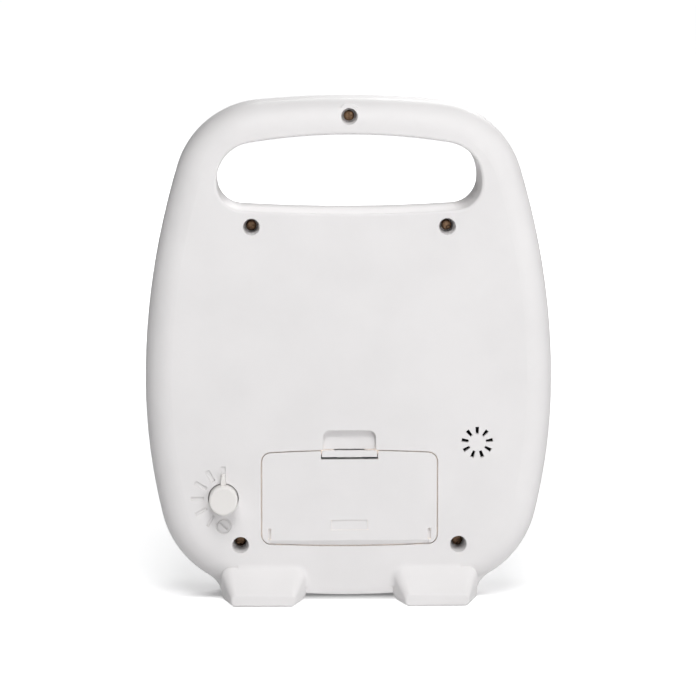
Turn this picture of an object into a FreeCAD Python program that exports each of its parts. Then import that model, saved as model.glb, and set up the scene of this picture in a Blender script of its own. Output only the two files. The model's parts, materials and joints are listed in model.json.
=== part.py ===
import FreeCAD, Part
import math
import os

import Sketcher
from FreeCAD import Placement, Rotation, Vector

# Visual timer: a desk timer with a carrying handle whose red disk shows the time left.
# Millimetres. X to the right seen from the front, Y to the back, Z up.
# The origin is on the floor, midway between the setting knob's tip and the heels of the feet.

SIZES = {
    # outline of the case, seen from the front
    "case_width": 139.4,
    "case_height": 173.0,
    "case_floor": -4.0,
    "widest_height": 76.0,
    "top_bow": 330.0,
    "shoulder_radius": 32.0,
    "upper_side_bow": 248.0,
    "lower_side_bow": 196.0,
    "heel_radius": 33.8,
    "bottom_bow": 100.0,
    "base_height": 2.9,
    "base_bow": 300.0,
    # depths and walls of the case
    "front_depth": 13.0,
    "rear_depth": 20.0,
    "wall": 2.2,
    "front_round": 7.0,
    "rear_round": 9.0,
    # handle slot
    "slot_side": 24.7,
    "bar_height": 12.0,
    "slot_height": 26.85,
    "slot_rise": 10.75,
    "slot_top_bow": 210.0,
    "slot_top_corner": 13.0,
    "slot_upper_bow": 21.3,
    "slot_lower_bow": 47.7,
    "slot_bottom_corner": 9.0,
    "slot_bottom_bow": 578.0,
    "slot_mouth_round": 1.0,
    # feet
    "foot_inner": 15.0,
    "foot_outer": 44.0,
    "foot_corner": 3.4,
    "heel_inner_inset": 3.9,
    "heel_outer_inset": 3.4,
    "heel_corner": 1.6,
    "heel_round": 0.9,
    "foot_reach": 9.0,
    "foot_heel": 4.2,
    "foot_rise": 12.4,
    "foot_front_gap": 4.0,
    "foot_blend": 2.4,
    "flare_radius": 8.0,
    "flare_rise": 6.8,
    "flare_low": 1.6,
    "flare_in": 2.3,
    "flare_up": 3.9,
    "flare_run": 6.5,
    "flare_end": 1.5,
    "pad_proud": 0.25,
    "pad_sunk": 0.8,
    "pad_width": 16.0,
    "pad_length": 11.0,
    "front_pad_length": 5.0,
    "pad_corner": 2.0,
    "pad_inset": 3.0,
    "pad_edge": 0.6,
    # case screws and their bosses
    "top_screw_drop": 5.8,
    "upper_screw_across": 33.3,
    "upper_screw_drop": 4.45,
    "lower_screw_across": 37.4,
    "lower_screw_height": 20.2,
    "top_screw_depth": 4.5,
    "upper_screw_depth": 6.5,
    "lower_screw_depth": 9.0,
    "well_radius": 2.85,
    "well_slope": 0.085,
    "head_radius": 1.8,
    "head_height": 1.7,
    "shank_radius": 1.35,
    "screw_length": 11.0,
    "seat_floor": 2.0,
    "boss_radius": 4.3,
    "front_boss_radius": 2.5,
    "screw_clearance": 0.25,
    "pilot_clearance": 0.03,
    # window and lens
    "dial_height": 74.5,
    "window_half": 52.0,
    "window_corner": 26.0,
    "window_round": 0.8,
    "ledge": 2.0,
    "lens_inset": 1.0,
    "lens_thick": 1.8,
    "lens_clearance": 0.15,
    "lens_hole": 4.6,
    "ledge_thick": 1.0,
    # face and disk
    "face_half": 54.5,
    "face_corner": 12.0,
    "face_thick": 1.9,
    "boss_notch": 0.7,
    "helix_pitch": 1.4,
    "sheet_thick": 0.35,
    "disk_radius": 38.0,
    "disk_gap": 1.0,
    "face_hole": 6.0,
    "slit_angle": 0.6,
    "collar_radius": 5.4,
    "collar_margin": 0.3,
    "minutes_shown": 20.0,
    # carrier plate and its screws
    "standoff": 1.3,
    "standoff_radius": 3.2,
    "chassis_across": 48.0,
    "plate_half": 52.0,
    "plate_corner": 9.0,
    "plate_thick": 1.2,
    "plate_hole": 6.5,
    # setting knob and spindle
    "knob_proud": 5.0,
    "knob_radius": 11.0,
    "knob_skirt": 2.0,
    "knob_gap": 0.3,
    "grip_width": 5.4,
    "grip_length": 20.0,
    "grip_round": 1.5,
    "hub_radius": 4.0,
    "slide_clearance": 0.05,
    "spindle_radius": 1.25,
    "spindle_collar": 2.0,
    "collar_length": 0.7,
    "tip_gap": 0.1,
    "bearing_clearance": 0.05,
    "bearing_depth": 0.7,
    "end_play": 0.15,
    # movement box
    "movement_width": 50.0,
    "movement_below": 17.0,
    "movement_above": 27.0,
    "movement_depth": 13.0,
    "movement_wall": 1.2,
    "movement_corner": 3.0,
    "movement_post": 2.2,
    "movement_post_inset": 2.7,
    # wheels, one layer behind the other
    "wheel_module": 0.3,
    "wheel_thick": 1.0,
    "layer_gap": 0.6,
    "front_play": 0.3,
    "staff_radius": 0.6,
    "clutch_hub": 2.4,
    "washer_rise": 0.6,
    "washer_thick": 0.25,
    "washer_gap": 0.05,
    "magnet_radius": 3.0,
    "magnet_length": 3.0,
    "stator_gap": 0.6,
    "stator_ring": 2.0,
    "stator_thick": 1.2,
    "coil_radius": 2.5,
    "coil_out": 9.5,
    "coil_base": 8.0,
    "flange_thick": 1.0,
    "core_width": 2.8,
    "seat_gap": 0.03,
    "peg_radius": 1.3,
    "movement_board_gap": 1.4,
    "movement_board_thick": 1.0,
    "movement_board_left": -18.0,
    "movement_board_right": -3.0,
    "movement_board_rise": 2.5,
    "movement_board_height": 16.0,
    "crystal_radius": 1.0,
    "crystal_length": 5.0,
    # battery tray, cells and contacts
    "cell_radius": 7.1,
    "cell_body": 49.2,
    "cell_length": 50.5,
    "nub_radius": 2.7,
    "cell_gap": 0.4,
    "cell_depth": 11.0,
    "tray_half": 28.6,
    "tray_wall": 1.5,
    "contact_thick": 0.4,
    "contact_width": 11.0,
    "leaf_width": 6.0,
    "tag_width": 2.0,
    "tag_reach": 2.0,
    # battery door and its latch
    "door_width": 59.9,
    "door_top": 52.75,
    "door_bottom": 19.9,
    "door_corner": 3.1,
    "door_bow": 520.0,
    "door_thick": 2.2,
    "door_gap": 0.35,
    "door_bevel": 2.0,
    "bevel_height": 1.9,
    "ledge_gap": 0.3,
    "tab_across": 22.8,
    "tab_width": 5.0,
    "tab_drop": 1.6,
    "tab_thick": 1.6,
    "tab_swing": 1.3,
    "rib_across": 12.0,
    "rib_width": 1.2,
    "rib_half_height": 11.0,
    "groove_across": 27.4,
    "groove_width": 0.9,
    "groove_low": 22.0,
    "groove_length": 3.8,
    "plate_mark_half": 6.3,
    "plate_mark_low": 25.3,
    "plate_mark_high": 3.4,
    "latch_inset": 0.2,
    "latch_half": 9.5,
    "latch_height": 2.2,
    "latch_clearance": 0.35,
    "latch_side_gap": 0.25,
    "latch_arm": 4.2,
    "latch_reach": 4.0,
    "latch_strip": 0.8,
    "latch_travel": 0.4,
    "recess_half": 9.05,
    "recess_height": 7.0,
    "recess_depth": 2.2,
    "recess_corner": 2.5,
    # volume knob, its hole and marks
    "volume_across": 43.2,
    "volume_height": 36.45,
    "volume_radius": 4.9,
    "volume_gap": 0.35,
    "volume_proud": 6.6,
    "volume_round": 0.7,
    "pointer_reach": 8.6,
    "pointer_root": 2.3,
    "pointer_tip": 1.1,
    "pointer_lift": 0.4,
    "pointer_thick": 2.2,
    "volume_shaft": 2.0,
    "volume_floor": 1.2,
    "volume_roof": 3.4,
    "control_radius": 6.0,
    "control_base": 4.0,
    "control_neck": 3.5,
    "control_depth": 6.6,
    "control_gap": 2.5,
    "mark_inner": 6.8,
    "mark_outer": 11.0,
    "mark_widest": 1.5,
    "mark_narrowest": 0.8,
    "mark_depth": 0.4,
    "groove_depth": 1.0,
    "plate_mark_depth": 0.3,
    "mark_step": 30.0,
    "mute_drop": 9.5,
    "mute_radius": 2.65,
    "mute_line": 0.6,
    # sound slots and speaker
    "speaker_across": -43.75,
    "speaker_height": 55.4,
    "sound_inner": 3.0,
    "sound_outer": 5.4,
    "sound_inner_width": 0.85,
    "sound_outer_width": 1.3,
    "sound_count": 9,
    "speaker_radius": 10.5,
    "speaker_depth": 5.0,
    "magnet_share": 3.0,
    "speaker_magnet": 8.0,
    "cone_depth": 1.3,
    "cone_rim": 1.2,
    "gasket_thick": 1.0,
    "speaker_rim": 1.4,
    # sound board
    "board_thick": 1.6,
    "board_left": 35.0,
    "board_right": 54.0,
    "board_top": 62.0,
    "board_bottom": 28.0,
    "post_radius": 2.6,
    "board_screw_length": 6.0,
    "small_screw_radius": 1.0,
    "small_head_radius": 1.9,
    "small_head_height": 1.3,
    "cross_width": 0.8,
    "cross_depth": 1.1,
    "small_screw_end": 0.3,
    "wire_radius": 0.55,
    "wire_bend": 1.4,
    "wire_pitch": 1.4,
    "lead_inset": 5.4,
    "lead_start": 7.0,
}

doc = FreeCAD.newDocument("VisualTimer")
sheet = doc.addObject("Spreadsheet::Sheet", "Dims")
for row, (alias, number) in enumerate(SIZES.items(), 1):
    sheet.set("A%d" % row, alias)
    sheet.set("B%d" % row, str(number))
    sheet.setAlias("B%d" % row, alias)
doc.recompute()


class Size:
    # A length that knows both its expression in the sheet's terms and its present value.
    def __init__(self, text, value):
        self.text = text
        self.value = value

    @staticmethod
    def of(item):
        return item if isinstance(item, Size) else Size(repr(float(item)), float(item))

    def combine(self, other, sign, work):
        first, second = self, Size.of(other)
        return Size("(%s %s %s)" % (first.text, sign, second.text), work(first.value, second.value))

    def __add__(self, other):
        return self.combine(other, "+", lambda a, b: a + b)

    def __sub__(self, other):
        return self.combine(other, "-", lambda a, b: a - b)

    def __mul__(self, other):
        return self.combine(other, "*", lambda a, b: a * b)

    def __truediv__(self, other):
        return self.combine(other, "/", lambda a, b: a / b)

    def __radd__(self, other):
        return Size.of(other) + self

    def __rsub__(self, other):
        return Size.of(other) - self

    def __rmul__(self, other):
        return Size.of(other) * self

    def __neg__(self):
        return Size("(-%s)" % self.text, -self.value)

    def __float__(self):
        return self.value


class Dims:
    pass


d = Dims()
for alias in SIZES:
    setattr(d, alias, Size("Dims." + alias, float(sheet.get(alias))))


def at(x, y, z=0.0):
    return Vector(float(x), float(y), float(z))


# Stations along Y, from the setting knob's tip to the heels of the feet
half_depth = (d.knob_proud + d.front_depth + d.rear_depth + d.foot_reach) / 2
front_y = d.knob_proud - half_depth
split_y = front_y + d.front_depth
back_y = split_y + d.rear_depth
lens_front = front_y + d.lens_inset
lens_back = lens_front + d.lens_thick
face_front = lens_back + d.ledge_thick
face_back = face_front + d.face_thick
sheet_start = face_back - d.sheet_thick / 2
plate_front = face_back + d.standoff
plate_back = plate_front + d.plate_thick
movement_back = plate_back + d.movement_depth
inner_back = back_y - d.wall
door_inner = back_y - d.door_thick
door_floor = door_inner - d.ledge_gap
cell_y = back_y - d.cell_depth
tray_front = cell_y - d.cell_radius - 0.3

# Heights
sole = d.pad_proud
slot_top = d.case_height - d.bar_height
slot_bottom = slot_top - d.slot_height
slot_widest = slot_bottom + d.slot_rise
tray_middle = (d.door_top + d.door_bottom) / 2
cell_rise = d.cell_radius + d.cell_gap / 2
upper_cell, lower_cell = tray_middle + cell_rise, tray_middle - cell_rise
tray_half_height = 2 * d.cell_radius + d.cell_gap * 1.5

recess_top = d.door_top + d.recess_height
frame_low = d.door_bottom - d.tab_drop - 2 * d.tray_wall
tab_room_front = door_inner - d.tab_thick - d.tab_swing
latch_room_front = door_inner - d.latch_reach - d.latch_strip
frame_front = tab_room_front - d.tray_wall
latch_gap = d.latch_travel + d.latch_clearance

# The contacts' tags leave the tray through slots in its side wall
tag_y = cell_y - d.contact_width / 2
tag_end = d.tray_half + d.tray_wall + d.tag_reach


def pair(across, height):
    return [(across, height), (-across, height)]


# The five case screws, by the depth of their heads' tops below the back
screw_groups = [
    ([(0, d.case_height - d.top_screw_drop)], d.top_screw_depth),
    (pair(d.upper_screw_across, slot_bottom - d.upper_screw_drop), d.upper_screw_depth),
    (pair(d.lower_screw_across, d.lower_screw_height), d.lower_screw_depth),
]
chassis_places = pair(d.chassis_across, d.dial_height + d.chassis_across)
chassis_places += pair(d.chassis_across, d.dial_height - d.chassis_across)

# The sound board hangs on two posts behind the volume control
control_back = inner_back - d.control_gap
board_back = control_back - d.control_depth
board_front = board_back - d.board_thick
post_places = [
    (d.board_left + d.post_radius, d.board_top - d.post_radius),
    (d.board_right - d.post_radius, d.board_top - d.post_radius),
]


def seat_y(depth):
    return back_y - depth - d.head_height


def bind(item, name, size):
    item.setExpression(name, Size.of(size).text)


def new_body(label, x=0, y=0, z=0):
    body = doc.addObject("PartDesign::Body", label)
    body.Label = label
    for axis, size in (("x", x), ("y", y), ("z", z)):
        bind(body, "Placement.Base." + axis, size)
    return body


class Draft:
    # A sketch on one of a body's own origin planes; every point is tied to sizes.
    def __init__(self, body, name, role="XZ_Plane", level=0, across=0, up=0):
        self.body = body
        self.name = name
        self.sketch = body.newObject("Sketcher::SketchObject", name)
        plane = next(part for part in body.Origin.OriginFeatures if part.Role == role)
        self.sketch.AttachmentSupport = (plane, [""])
        self.sketch.MapMode = "FlatFace"
        offset = -Size.of(level) if role == "XZ_Plane" else level
        for axis, size in (("x", across), ("y", up), ("z", offset)):
            bind(self.sketch, "AttachmentOffset.Base." + axis, size)
        self.count = 0

    def limit(self, kind, size, *places):
        size = Size.of(size)
        index = self.sketch.addConstraint(Sketcher.Constraint(kind, *places, size.value))
        self.count += 1
        label = "size%d" % self.count
        self.sketch.renameConstraint(index, label)
        self.sketch.setExpression("Constraints." + label, size.text)

    def tie(self, kind, *places):
        self.sketch.addConstraint(Sketcher.Constraint(kind, *places))

    def pin_across(self, geo, pos, x):
        if isinstance(x, Size) or x != 0:
            self.limit("DistanceX", x, -1, 1, geo, pos)
        else:
            self.tie("PointOnObject", geo, pos, -2)

    def pin_up(self, geo, pos, y):
        if isinstance(y, Size) or y != 0:
            self.limit("DistanceY", y, -1, 1, geo, pos)
        else:
            self.tie("PointOnObject", geo, pos, -1)

    def line(self, start, end):
        return self.sketch.addGeometry(Part.LineSegment(at(*start), at(*end)), False)

    def arc(self, centre, radius, start, end):
        circle = Part.Circle(at(*centre), Vector(0, 0, 1), float(radius))
        return self.sketch.addGeometry(Part.ArcOfCircle(circle, start, end), False)

    def circle(self, x, y, radius):
        circle = Part.Circle(at(x, y), Vector(0, 0, 1), float(radius))
        geo = self.sketch.addGeometry(circle, False)
        self.pin_across(geo, 3, x)
        self.pin_up(geo, 3, y)
        self.limit("Radius", radius, geo)
        return self

    def polygon(self, points):
        geos = [self.line(start, end) for start, end in zip(points, points[1:] + points[:1])]
        for geo, following, point in zip(geos, geos[1:] + geos[:1], points):
            self.tie("Coincident", geo, 2, following, 1)
            self.pin_across(geo, 1, point[0])
            self.pin_up(geo, 1, point[1])
        return self

    def box(self, left, right, low, high):
        return self.polygon([(left, low), (right, low), (right, high), (left, high)])

    def rounded_box(self, left, right, low, high, corner):
        l, r, b, t, c = (float(size) for size in (left, right, low, high, corner))
        quarter = math.pi / 2
        geos = [
            self.line((l + c, b), (r - c, b)),
            self.arc((r - c, b + c), c, -quarter, 0),
            self.line((r, b + c), (r, t - c)),
            self.arc((r - c, t - c), c, 0, quarter),
            self.line((r - c, t), (l + c, t)),
            self.arc((l + c, t - c), c, quarter, 2 * quarter),
            self.line((l, t - c), (l, b + c)),
            self.arc((l + c, b + c), c, 2 * quarter, 3 * quarter),
        ]
        self.chain(geos)
        for geo, kind in zip(geos[::2], ("Horizontal", "Vertical", "Horizontal", "Vertical")):
            self.tie(kind, geo)
        for geo in geos[3::2]:
            self.tie("Equal", geos[1], geo)
        self.limit("Radius", corner, geos[1])
        self.pin_up(geos[0], 1, low)
        self.pin_across(geos[2], 1, right)
        self.pin_up(geos[4], 1, high)
        self.pin_across(geos[6], 1, left)
        return self

    def chain(self, geos):
        for geo, following in zip(geos, geos[1:] + geos[:1]):
            self.tie("Tangent", geo, 2, following, 1)

    def bowed_panel(self, half, low, high, corner, bow):
        # straight sides, with the top and the bottom bowed outward
        h, b, t, c, w = (float(size) for size in (half, low, high, corner, bow))
        lean = math.asin((h - c) / (w - c))
        drop = (w - c) * math.cos(lean)
        up, down = t - w, b + w
        right = math.pi / 2
        geos = [
            self.arc((0, down), w, -right - lean, -right + lean),
            self.arc((h - c, down - drop), c, -right + lean, 0),
            self.line((h, down - drop), (h, up + drop)),
            self.arc((h - c, up + drop), c, 0, right - lean),
            self.arc((0, up), w, right - lean, right + lean),
            self.arc((c - h, up + drop), c, right + lean, 2 * right),
            self.line((-h, up + drop), (-h, down - drop)),
            self.arc((c - h, down - drop), c, 2 * right, 3 * right - lean),
        ]
        self.chain(geos)
        self.tie("Vertical", geos[2])
        self.tie("Vertical", geos[6])
        self.limit("Radius", corner, geos[1])
        for other in (3, 5, 7):
            self.tie("Equal", geos[1], geos[other])
        self.limit("Radius", bow, geos[0])
        self.tie("Equal", geos[0], geos[4])
        self.tie("PointOnObject", geos[0], 3, -2)
        self.tie("PointOnObject", geos[4], 3, -2)
        self.limit("DistanceY", low + bow, -1, 1, geos[0], 3)
        self.limit("DistanceY", high - bow, -1, 1, geos[4], 3)
        self.pin_across(geos[2], 1, half)
        self.pin_across(geos[6], 1, -half)
        return self

    def bowed_loop(self, half, widest, low, high, bows):
        # a closed run of tangent arcs, the same on both sides of the middle:
        # bows are the radii of the top, its corners, upper sides, lower sides, lower corners, bottom
        top, top_corner, upper, lower, low_corner, bottom = bows
        h, w, b, t = (float(size) for size in (half, widest, low, high))
        rt, rtc, ru, rl, rlc, rb = (float(size) for size in bows)
        top_middle, low_middle = (0.0, t - rt), (0.0, b + rb)
        upper_middle, lower_middle = (h - ru, w), (h - rl, w)
        tc = meeting(top_middle, rt - rtc, upper_middle, ru - rtc, (h - rtc, t - rtc))
        lc = meeting(low_middle, rb - rlc, lower_middle, rl - rlc, (h - rlc, b + rlc))
        top_end, upper_end = heading(top_middle, tc), heading(upper_middle, tc)
        lower_end, low_end = heading(lower_middle, lc), heading(low_middle, lc)
        half_turn = math.pi
        geos = [
            self.arc(lower_middle, rl, lower_end, 0),
            self.arc(upper_middle, ru, 0, upper_end),
            self.arc(tc, rtc, upper_end, top_end),
            self.arc(top_middle, rt, top_end, half_turn - top_end),
            self.arc((-tc[0], tc[1]), rtc, half_turn - top_end, half_turn - upper_end),
            self.arc((-upper_middle[0], w), ru, half_turn - upper_end, half_turn),
            self.arc((-lower_middle[0], w), rl, half_turn, half_turn - lower_end),
            self.arc((-lc[0], lc[1]), rlc, half_turn - lower_end, half_turn - low_end),
            self.arc(low_middle, rb, half_turn - low_end, 2 * half_turn + low_end),
            self.arc(lc, rlc, low_end, lower_end),
        ]
        self.chain(geos)
        for geo, radius in ((0, lower), (1, upper), (2, top_corner), (3, top), (8, bottom), (9, low_corner)):
            self.limit("Radius", radius, geos[geo])
        for first, second in ((0, 6), (1, 5), (2, 4), (9, 7)):
            self.tie("Equal", geos[first], geos[second])
        for geo, level in ((3, high - top), (8, low + bottom)):
            self.tie("PointOnObject", geos[geo], 3, -2)
            self.limit("DistanceY", level, -1, 1, geos[geo], 3)
        for geo, side in ((0, half), (5, -half)):
            self.pin_across(geos[geo], 2, side)
            self.pin_up(geos[geo], 2, widest)
            self.tie("Horizontal", geos[geo], 3, geos[geo], 2)
        return self

    def below_bow(self, half, level, bow, reach):
        # the area below a gently bowed level, cut off square at both sides
        h, w = float(half), float(bow)
        lean = math.asin(h / w)
        middle, side = float(level) + w, float(level) + w - w * math.cos(lean)
        low = side - float(reach) - float(half)
        right = math.pi / 2
        geos = [
            self.arc((0, middle), w, -right - lean, -right + lean),
            self.line((h, side), (h, low)),
            self.line((h, low), (-h, low)),
            self.line((-h, low), (-h, side)),
        ]
        for geo, following in zip(geos, geos[1:] + geos[:1]):
            self.tie("Coincident", geo, 2, following, 1)
        self.limit("Radius", bow, geos[0])
        self.tie("PointOnObject", geos[0], 3, -2)
        self.pin_up(geos[0], 3, level + bow)
        self.pin_across(geos[0], 2, half)
        self.pin_across(geos[0], 1, -half)
        self.tie("Vertical", geos[1])
        self.tie("Vertical", geos[3])
        self.tie("Horizontal", geos[2])
        self.pin_up(geos[1], 2, level - reach)
        return self

    def finish(self, kind, size=None, **settings):
        feature = self.body.newObject("PartDesign::" + kind, self.name + kind)
        feature.Profile = self.sketch
        feature.Refine = False
        if size is not None:
            bind(feature, "Angle" if kind in ("Revolution", "Groove") else "Length", size)
        for name, value in settings.items():
            setattr(feature, name, value)
        return feature

    def pad(self, length, **settings):
        return self.finish("Pad", length, **settings)

    def pocket(self, length, **settings):
        return self.finish("Pocket", length, **settings)

    def turn(self):
        return self.finish("Revolution", 360, ReferenceAxis=(self.sketch, ["H_Axis"]))


def meeting(first, reach, second, span, near):
    # where a point lies at two given distances from two centres
    across, up = second[0] - first[0], second[1] - first[1]
    apart = math.hypot(across, up)
    along = (reach**2 - span**2 + apart**2) / (2 * apart)
    off = math.sqrt(reach**2 - along**2)
    foot = (first[0] + along * across / apart, first[1] + along * up / apart)
    turned = (off * up / apart, -off * across / apart)
    options = [(foot[0] + sign * turned[0], foot[1] + sign * turned[1]) for sign in (1, -1)]
    return min(options, key=lambda spot: math.hypot(spot[0] - near[0], spot[1] - near[1]))


def heading(centre, spot):
    return math.atan2(spot[1] - centre[1], spot[0] - centre[0])


def slab(draft, low_y, high_y, **settings):
    # material between two stations on Y; the draft is on the XZ plane at the rear one
    return draft.pad(high_y - low_y, **settings)


def round_edges(body, name, base, radius, wanted, kind="Fillet"):
    doc.recompute()
    names = ["Edge%d" % (index + 1) for index, edge in enumerate(base.Shape.Edges) if wanted(edge)]
    feature = body.newObject("PartDesign::" + kind, name)
    feature.Base = (base, names)
    bind(feature, "Radius" if kind == "Fillet" else "Size", radius)
    doc.recompute()
    return feature


def level_edge(y):
    station = float(y)
    return lambda edge: abs(edge.BoundBox.YMin - station) < 0.01 and abs(edge.BoundBox.YMax - station) < 0.01


def case_bows(inset):
    return (
        d.top_bow - inset,
        d.shoulder_radius - inset,
        d.upper_side_bow - inset,
        d.lower_side_bow - inset,
        d.heel_radius - inset,
        d.bottom_bow - inset,
    )


def case_outline(draft, inset=0):
    return draft.bowed_loop(
        d.case_width / 2 - inset,
        d.widest_height,
        d.case_floor + inset,
        d.case_height - inset,
        case_bows(inset),
    )


def slot_outline(draft, grown=0):
    bows = (
        d.slot_top_bow + grown,
        d.slot_top_corner + grown,
        d.slot_upper_bow + grown,
        d.slot_lower_bow + grown,
        d.slot_bottom_corner + grown,
        d.slot_bottom_bow + grown,
    )
    half = d.case_width / 2 - d.slot_side + grown
    return draft.bowed_loop(half, slot_widest, slot_bottom - grown, slot_top + grown, bows)


def trim_base(body, low_y, high_y, inset=0):
    # the underside: what hangs below a gently bowed level goes
    draft = Draft(body, "underside", level=low_y)
    half, reach = d.case_width / 2, d.case_width / 4
    draft.below_bow(half, d.base_height + inset, d.base_bow - inset, reach)
    return draft.pocket(high_y - low_y)


def foot_section(draft, side, insets=(0, 0), rise=None, corner=None):
    # one foot's outline across the case, its sole on the floor
    inner, outer = d.foot_inner + insets[0], d.foot_outer - insets[1]
    left, right = (inner, outer) if side > 0 else (-outer, -inner)
    top = d.foot_rise if rise is None else rise
    return draft.rounded_box(left, right, sole, top, d.foot_corner if corner is None else corner)


def add_feet(body, front, back):
    draft = Draft(body, "feetSection", level=back)
    for side in (1, -1):
        foot_section(draft, side)
    return slab(draft, front, back)


def add_toe(body, side, label):
    # a foot's toe narrows and slopes down from the back to its heel
    root = foot_section(Draft(body, "toeRoot" + label, level=back_y), side)
    heel = foot_section(Draft(body, "toeHeel" + label, level=back_y + d.foot_reach), side,
                        (d.heel_inner_inset, d.heel_outer_inset), d.foot_heel, d.heel_corner)
    toe = body.newObject("PartDesign::AdditiveLoft", "toe" + label)
    toe.Profile = root.sketch
    toe.Sections = [heel.sketch]
    toe.Ruled = True
    toe.Refine = False
    doc.recompute()
    return toe


def flare_section(draft, side, shift=0, lift=0):
    # the hollow curve between a foot's outer side and the case's outline, closed inside the foot
    side_x, radius, base = side * (d.foot_outer - shift), d.flare_radius, d.flare_low + lift
    middle = side_x + side * radius
    x, r, low = float(middle), radius.value, float(base)
    turn = math.asin(d.flare_rise.value / r)
    if side > 0:
        geos = [draft.arc((x, low), r, math.pi - turn, math.pi)]
        top, bottom = (geos[0], 1), (geos[0], 2)
    else:
        geos = [draft.arc((x, low), r, 0, turn)]
        top, bottom = (geos[0], 2), (geos[0], 1)
    inside = float(side_x) - side
    high = low + d.flare_rise.value
    roof = draft.line((x - side * r * math.cos(turn), high), (inside, high))
    wall = draft.line((inside, high), (inside, low))
    floor = draft.line((inside, low), (float(side_x), low))
    for first, second in ((top, (roof, 1)), ((roof, 2), (wall, 1)), ((wall, 2), (floor, 1)), ((floor, 2), bottom)):
        draft.tie("Coincident", *first, *second)
    draft.tie("Horizontal", roof)
    draft.tie("Vertical", wall)
    draft.tie("Horizontal", floor)
    draft.limit("Radius", radius, geos[0])
    draft.pin_across(geos[0], 3, middle)
    draft.pin_up(geos[0], 3, base)
    draft.pin_up(roof, 1, base + d.flare_rise)
    draft.pin_across(wall, 1, side_x - side)
    draft.tie("Horizontal", floor, 2, geos[0], 3)
    return draft


def add_flares(body, open_y, run_y, end_y):
    # the feet flow into the case's outline; near the case's face the flow runs out
    for side, label in ((1, "Right"), (-1, "Left")):
        low, high = (open_y, run_y) if float(open_y) < float(run_y) else (run_y, open_y)
        slab(flare_section(Draft(body, "flare" + label, level=high), side), low, high)
        full = flare_section(Draft(body, "flareFull" + label, level=run_y), side)
        spent = Draft(body, "flareSpent" + label, level=end_y)
        flare_section(spent, side, d.flare_in, d.flare_up)
        run = body.newObject("PartDesign::AdditiveLoft", "flareRun" + label)
        run.Profile = full.sketch
        run.Sections = [spent.sketch]
        run.Ruled = True
        run.Refine = False
        doc.recompute()


def hollow(body, open_y, floor_y, corner):
    # the room inside the case: a solid of its own with the handle slot's wall left out of it,
    # rounded at its floor and then cut from the shell
    low_y, high_y = (open_y, floor_y) if float(open_y) < float(floor_y) else (floor_y, open_y)
    room = new_body(body.Label + "_room")
    draft = Draft(room, "room", level=high_y)
    case_outline(draft, d.wall)
    slot_outline(draft, d.wall)
    slab(draft, low_y, high_y)
    round_edges(room, "roomRound", room.Tip, corner, outer_loop(floor_y))
    trim_base(room, low_y, high_y, d.wall)
    cut = body.newObject("PartDesign::Boolean", "roomCut")
    cut.setObjects([room])
    cut.Type = "Cut"
    cut.Refine = False
    doc.recompute()
    return cut


def pad_recesses(body, near, far):
    draft = Draft(body, "padRecess", role="XY_Plane", level=0)
    for side in (1, -1):
        middle = side * (d.foot_inner + d.foot_outer) / 2
        draft.rounded_box(middle - d.pad_width / 2, middle + d.pad_width / 2, near, far, d.pad_corner)
    return draft.pocket(d.pad_proud + d.pad_sunk, Reversed=True)


# stations of the pads, front and rear: where each begins and ends
front_pad = (split_y - d.pad_edge - d.front_pad_length, split_y - d.pad_edge)
rear_pad = (back_y + d.foot_reach - d.pad_inset - d.pad_length, back_y + d.foot_reach - d.pad_inset)


def make_front_case():
    body = new_body("front_case")
    slab(case_outline(Draft(body, "outline", level=split_y)), front_y, split_y)
    last = round_edges(body, "frontRound", body.Tip, d.front_round, level_edge(front_y))
    trim_base(body, front_y, split_y)
    feet_front = front_y + d.foot_front_gap
    add_feet(body, feet_front, split_y)
    slope = Draft(body, "footSlope", role="YZ_Plane")
    slope.polygon([(feet_front, 0), (feet_front + d.foot_corner, 0), (feet_front, d.foot_corner)])
    slope.pocket(d.case_width, Midplane=True)
    add_flares(body, split_y, feet_front + d.flare_run, feet_front + d.flare_end)
    hollow(body, split_y, face_front, d.front_round - d.wall)
    handle = slot_outline(Draft(body, "handle", level=front_y))
    last = handle.pocket(d.front_depth)
    last = round_edges(body, "handleRound", last, d.slot_mouth_round, inside_slot(front_y))
    window = Draft(body, "lensSeat", level=front_y, up=d.dial_height)
    half = d.window_half + d.ledge
    window.rounded_box(-half, half, -half, half, d.window_corner + d.ledge)
    window.pocket(d.lens_inset + d.lens_thick)
    opening = Draft(body, "window", level=lens_back, up=d.dial_height)
    half = d.window_half
    opening.rounded_box(-half, half, -half, half, d.window_corner)
    last = opening.pocket(d.ledge_thick)
    reach = float(d.window_half + d.ledge) + 0.5
    last = round_edges(
        body,
        "windowRound",
        last,
        d.window_round,
        lambda edge: level_edge(front_y)(edge)
        and abs(edge.BoundBox.Center.x) < reach
        and abs(edge.BoundBox.Center.z - float(d.dial_height)) < reach
        and edge.BoundBox.ZMax < float(slot_bottom) - 1,
    )
    pilot = d.screw_length - d.seat_floor + 1
    for index, (places, depth) in enumerate(screw_groups):
        end = seat_y(depth) - d.seat_floor
        bosses = Draft(body, "bosses%d" % index, level=end)
        slab(circles(bosses, places, d.front_boss_radius), face_front, end)
        holes = Draft(body, "pilots%d" % index, level=end - pilot)
        circles(holes, places, d.shank_radius + d.pilot_clearance).pocket(pilot)
    holes = Draft(body, "chassisPilots", level=front_y + d.lens_inset)
    circles(holes, chassis_places, d.small_screw_radius + d.pilot_clearance)
    holes.pocket(face_front - front_y - d.lens_inset)
    pad_recesses(body, *front_pad)
    return body


def circles(draft, places, radius):
    for across, height in places:
        draft.circle(across, height, radius)
    return draft


def outer_loop(y):
    # the room's outer rim at one station, without the rim round the handle slot's wall
    station, slot = level_edge(y), near_slot(d.wall)
    return lambda edge: station(edge) and not slot(edge)


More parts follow.
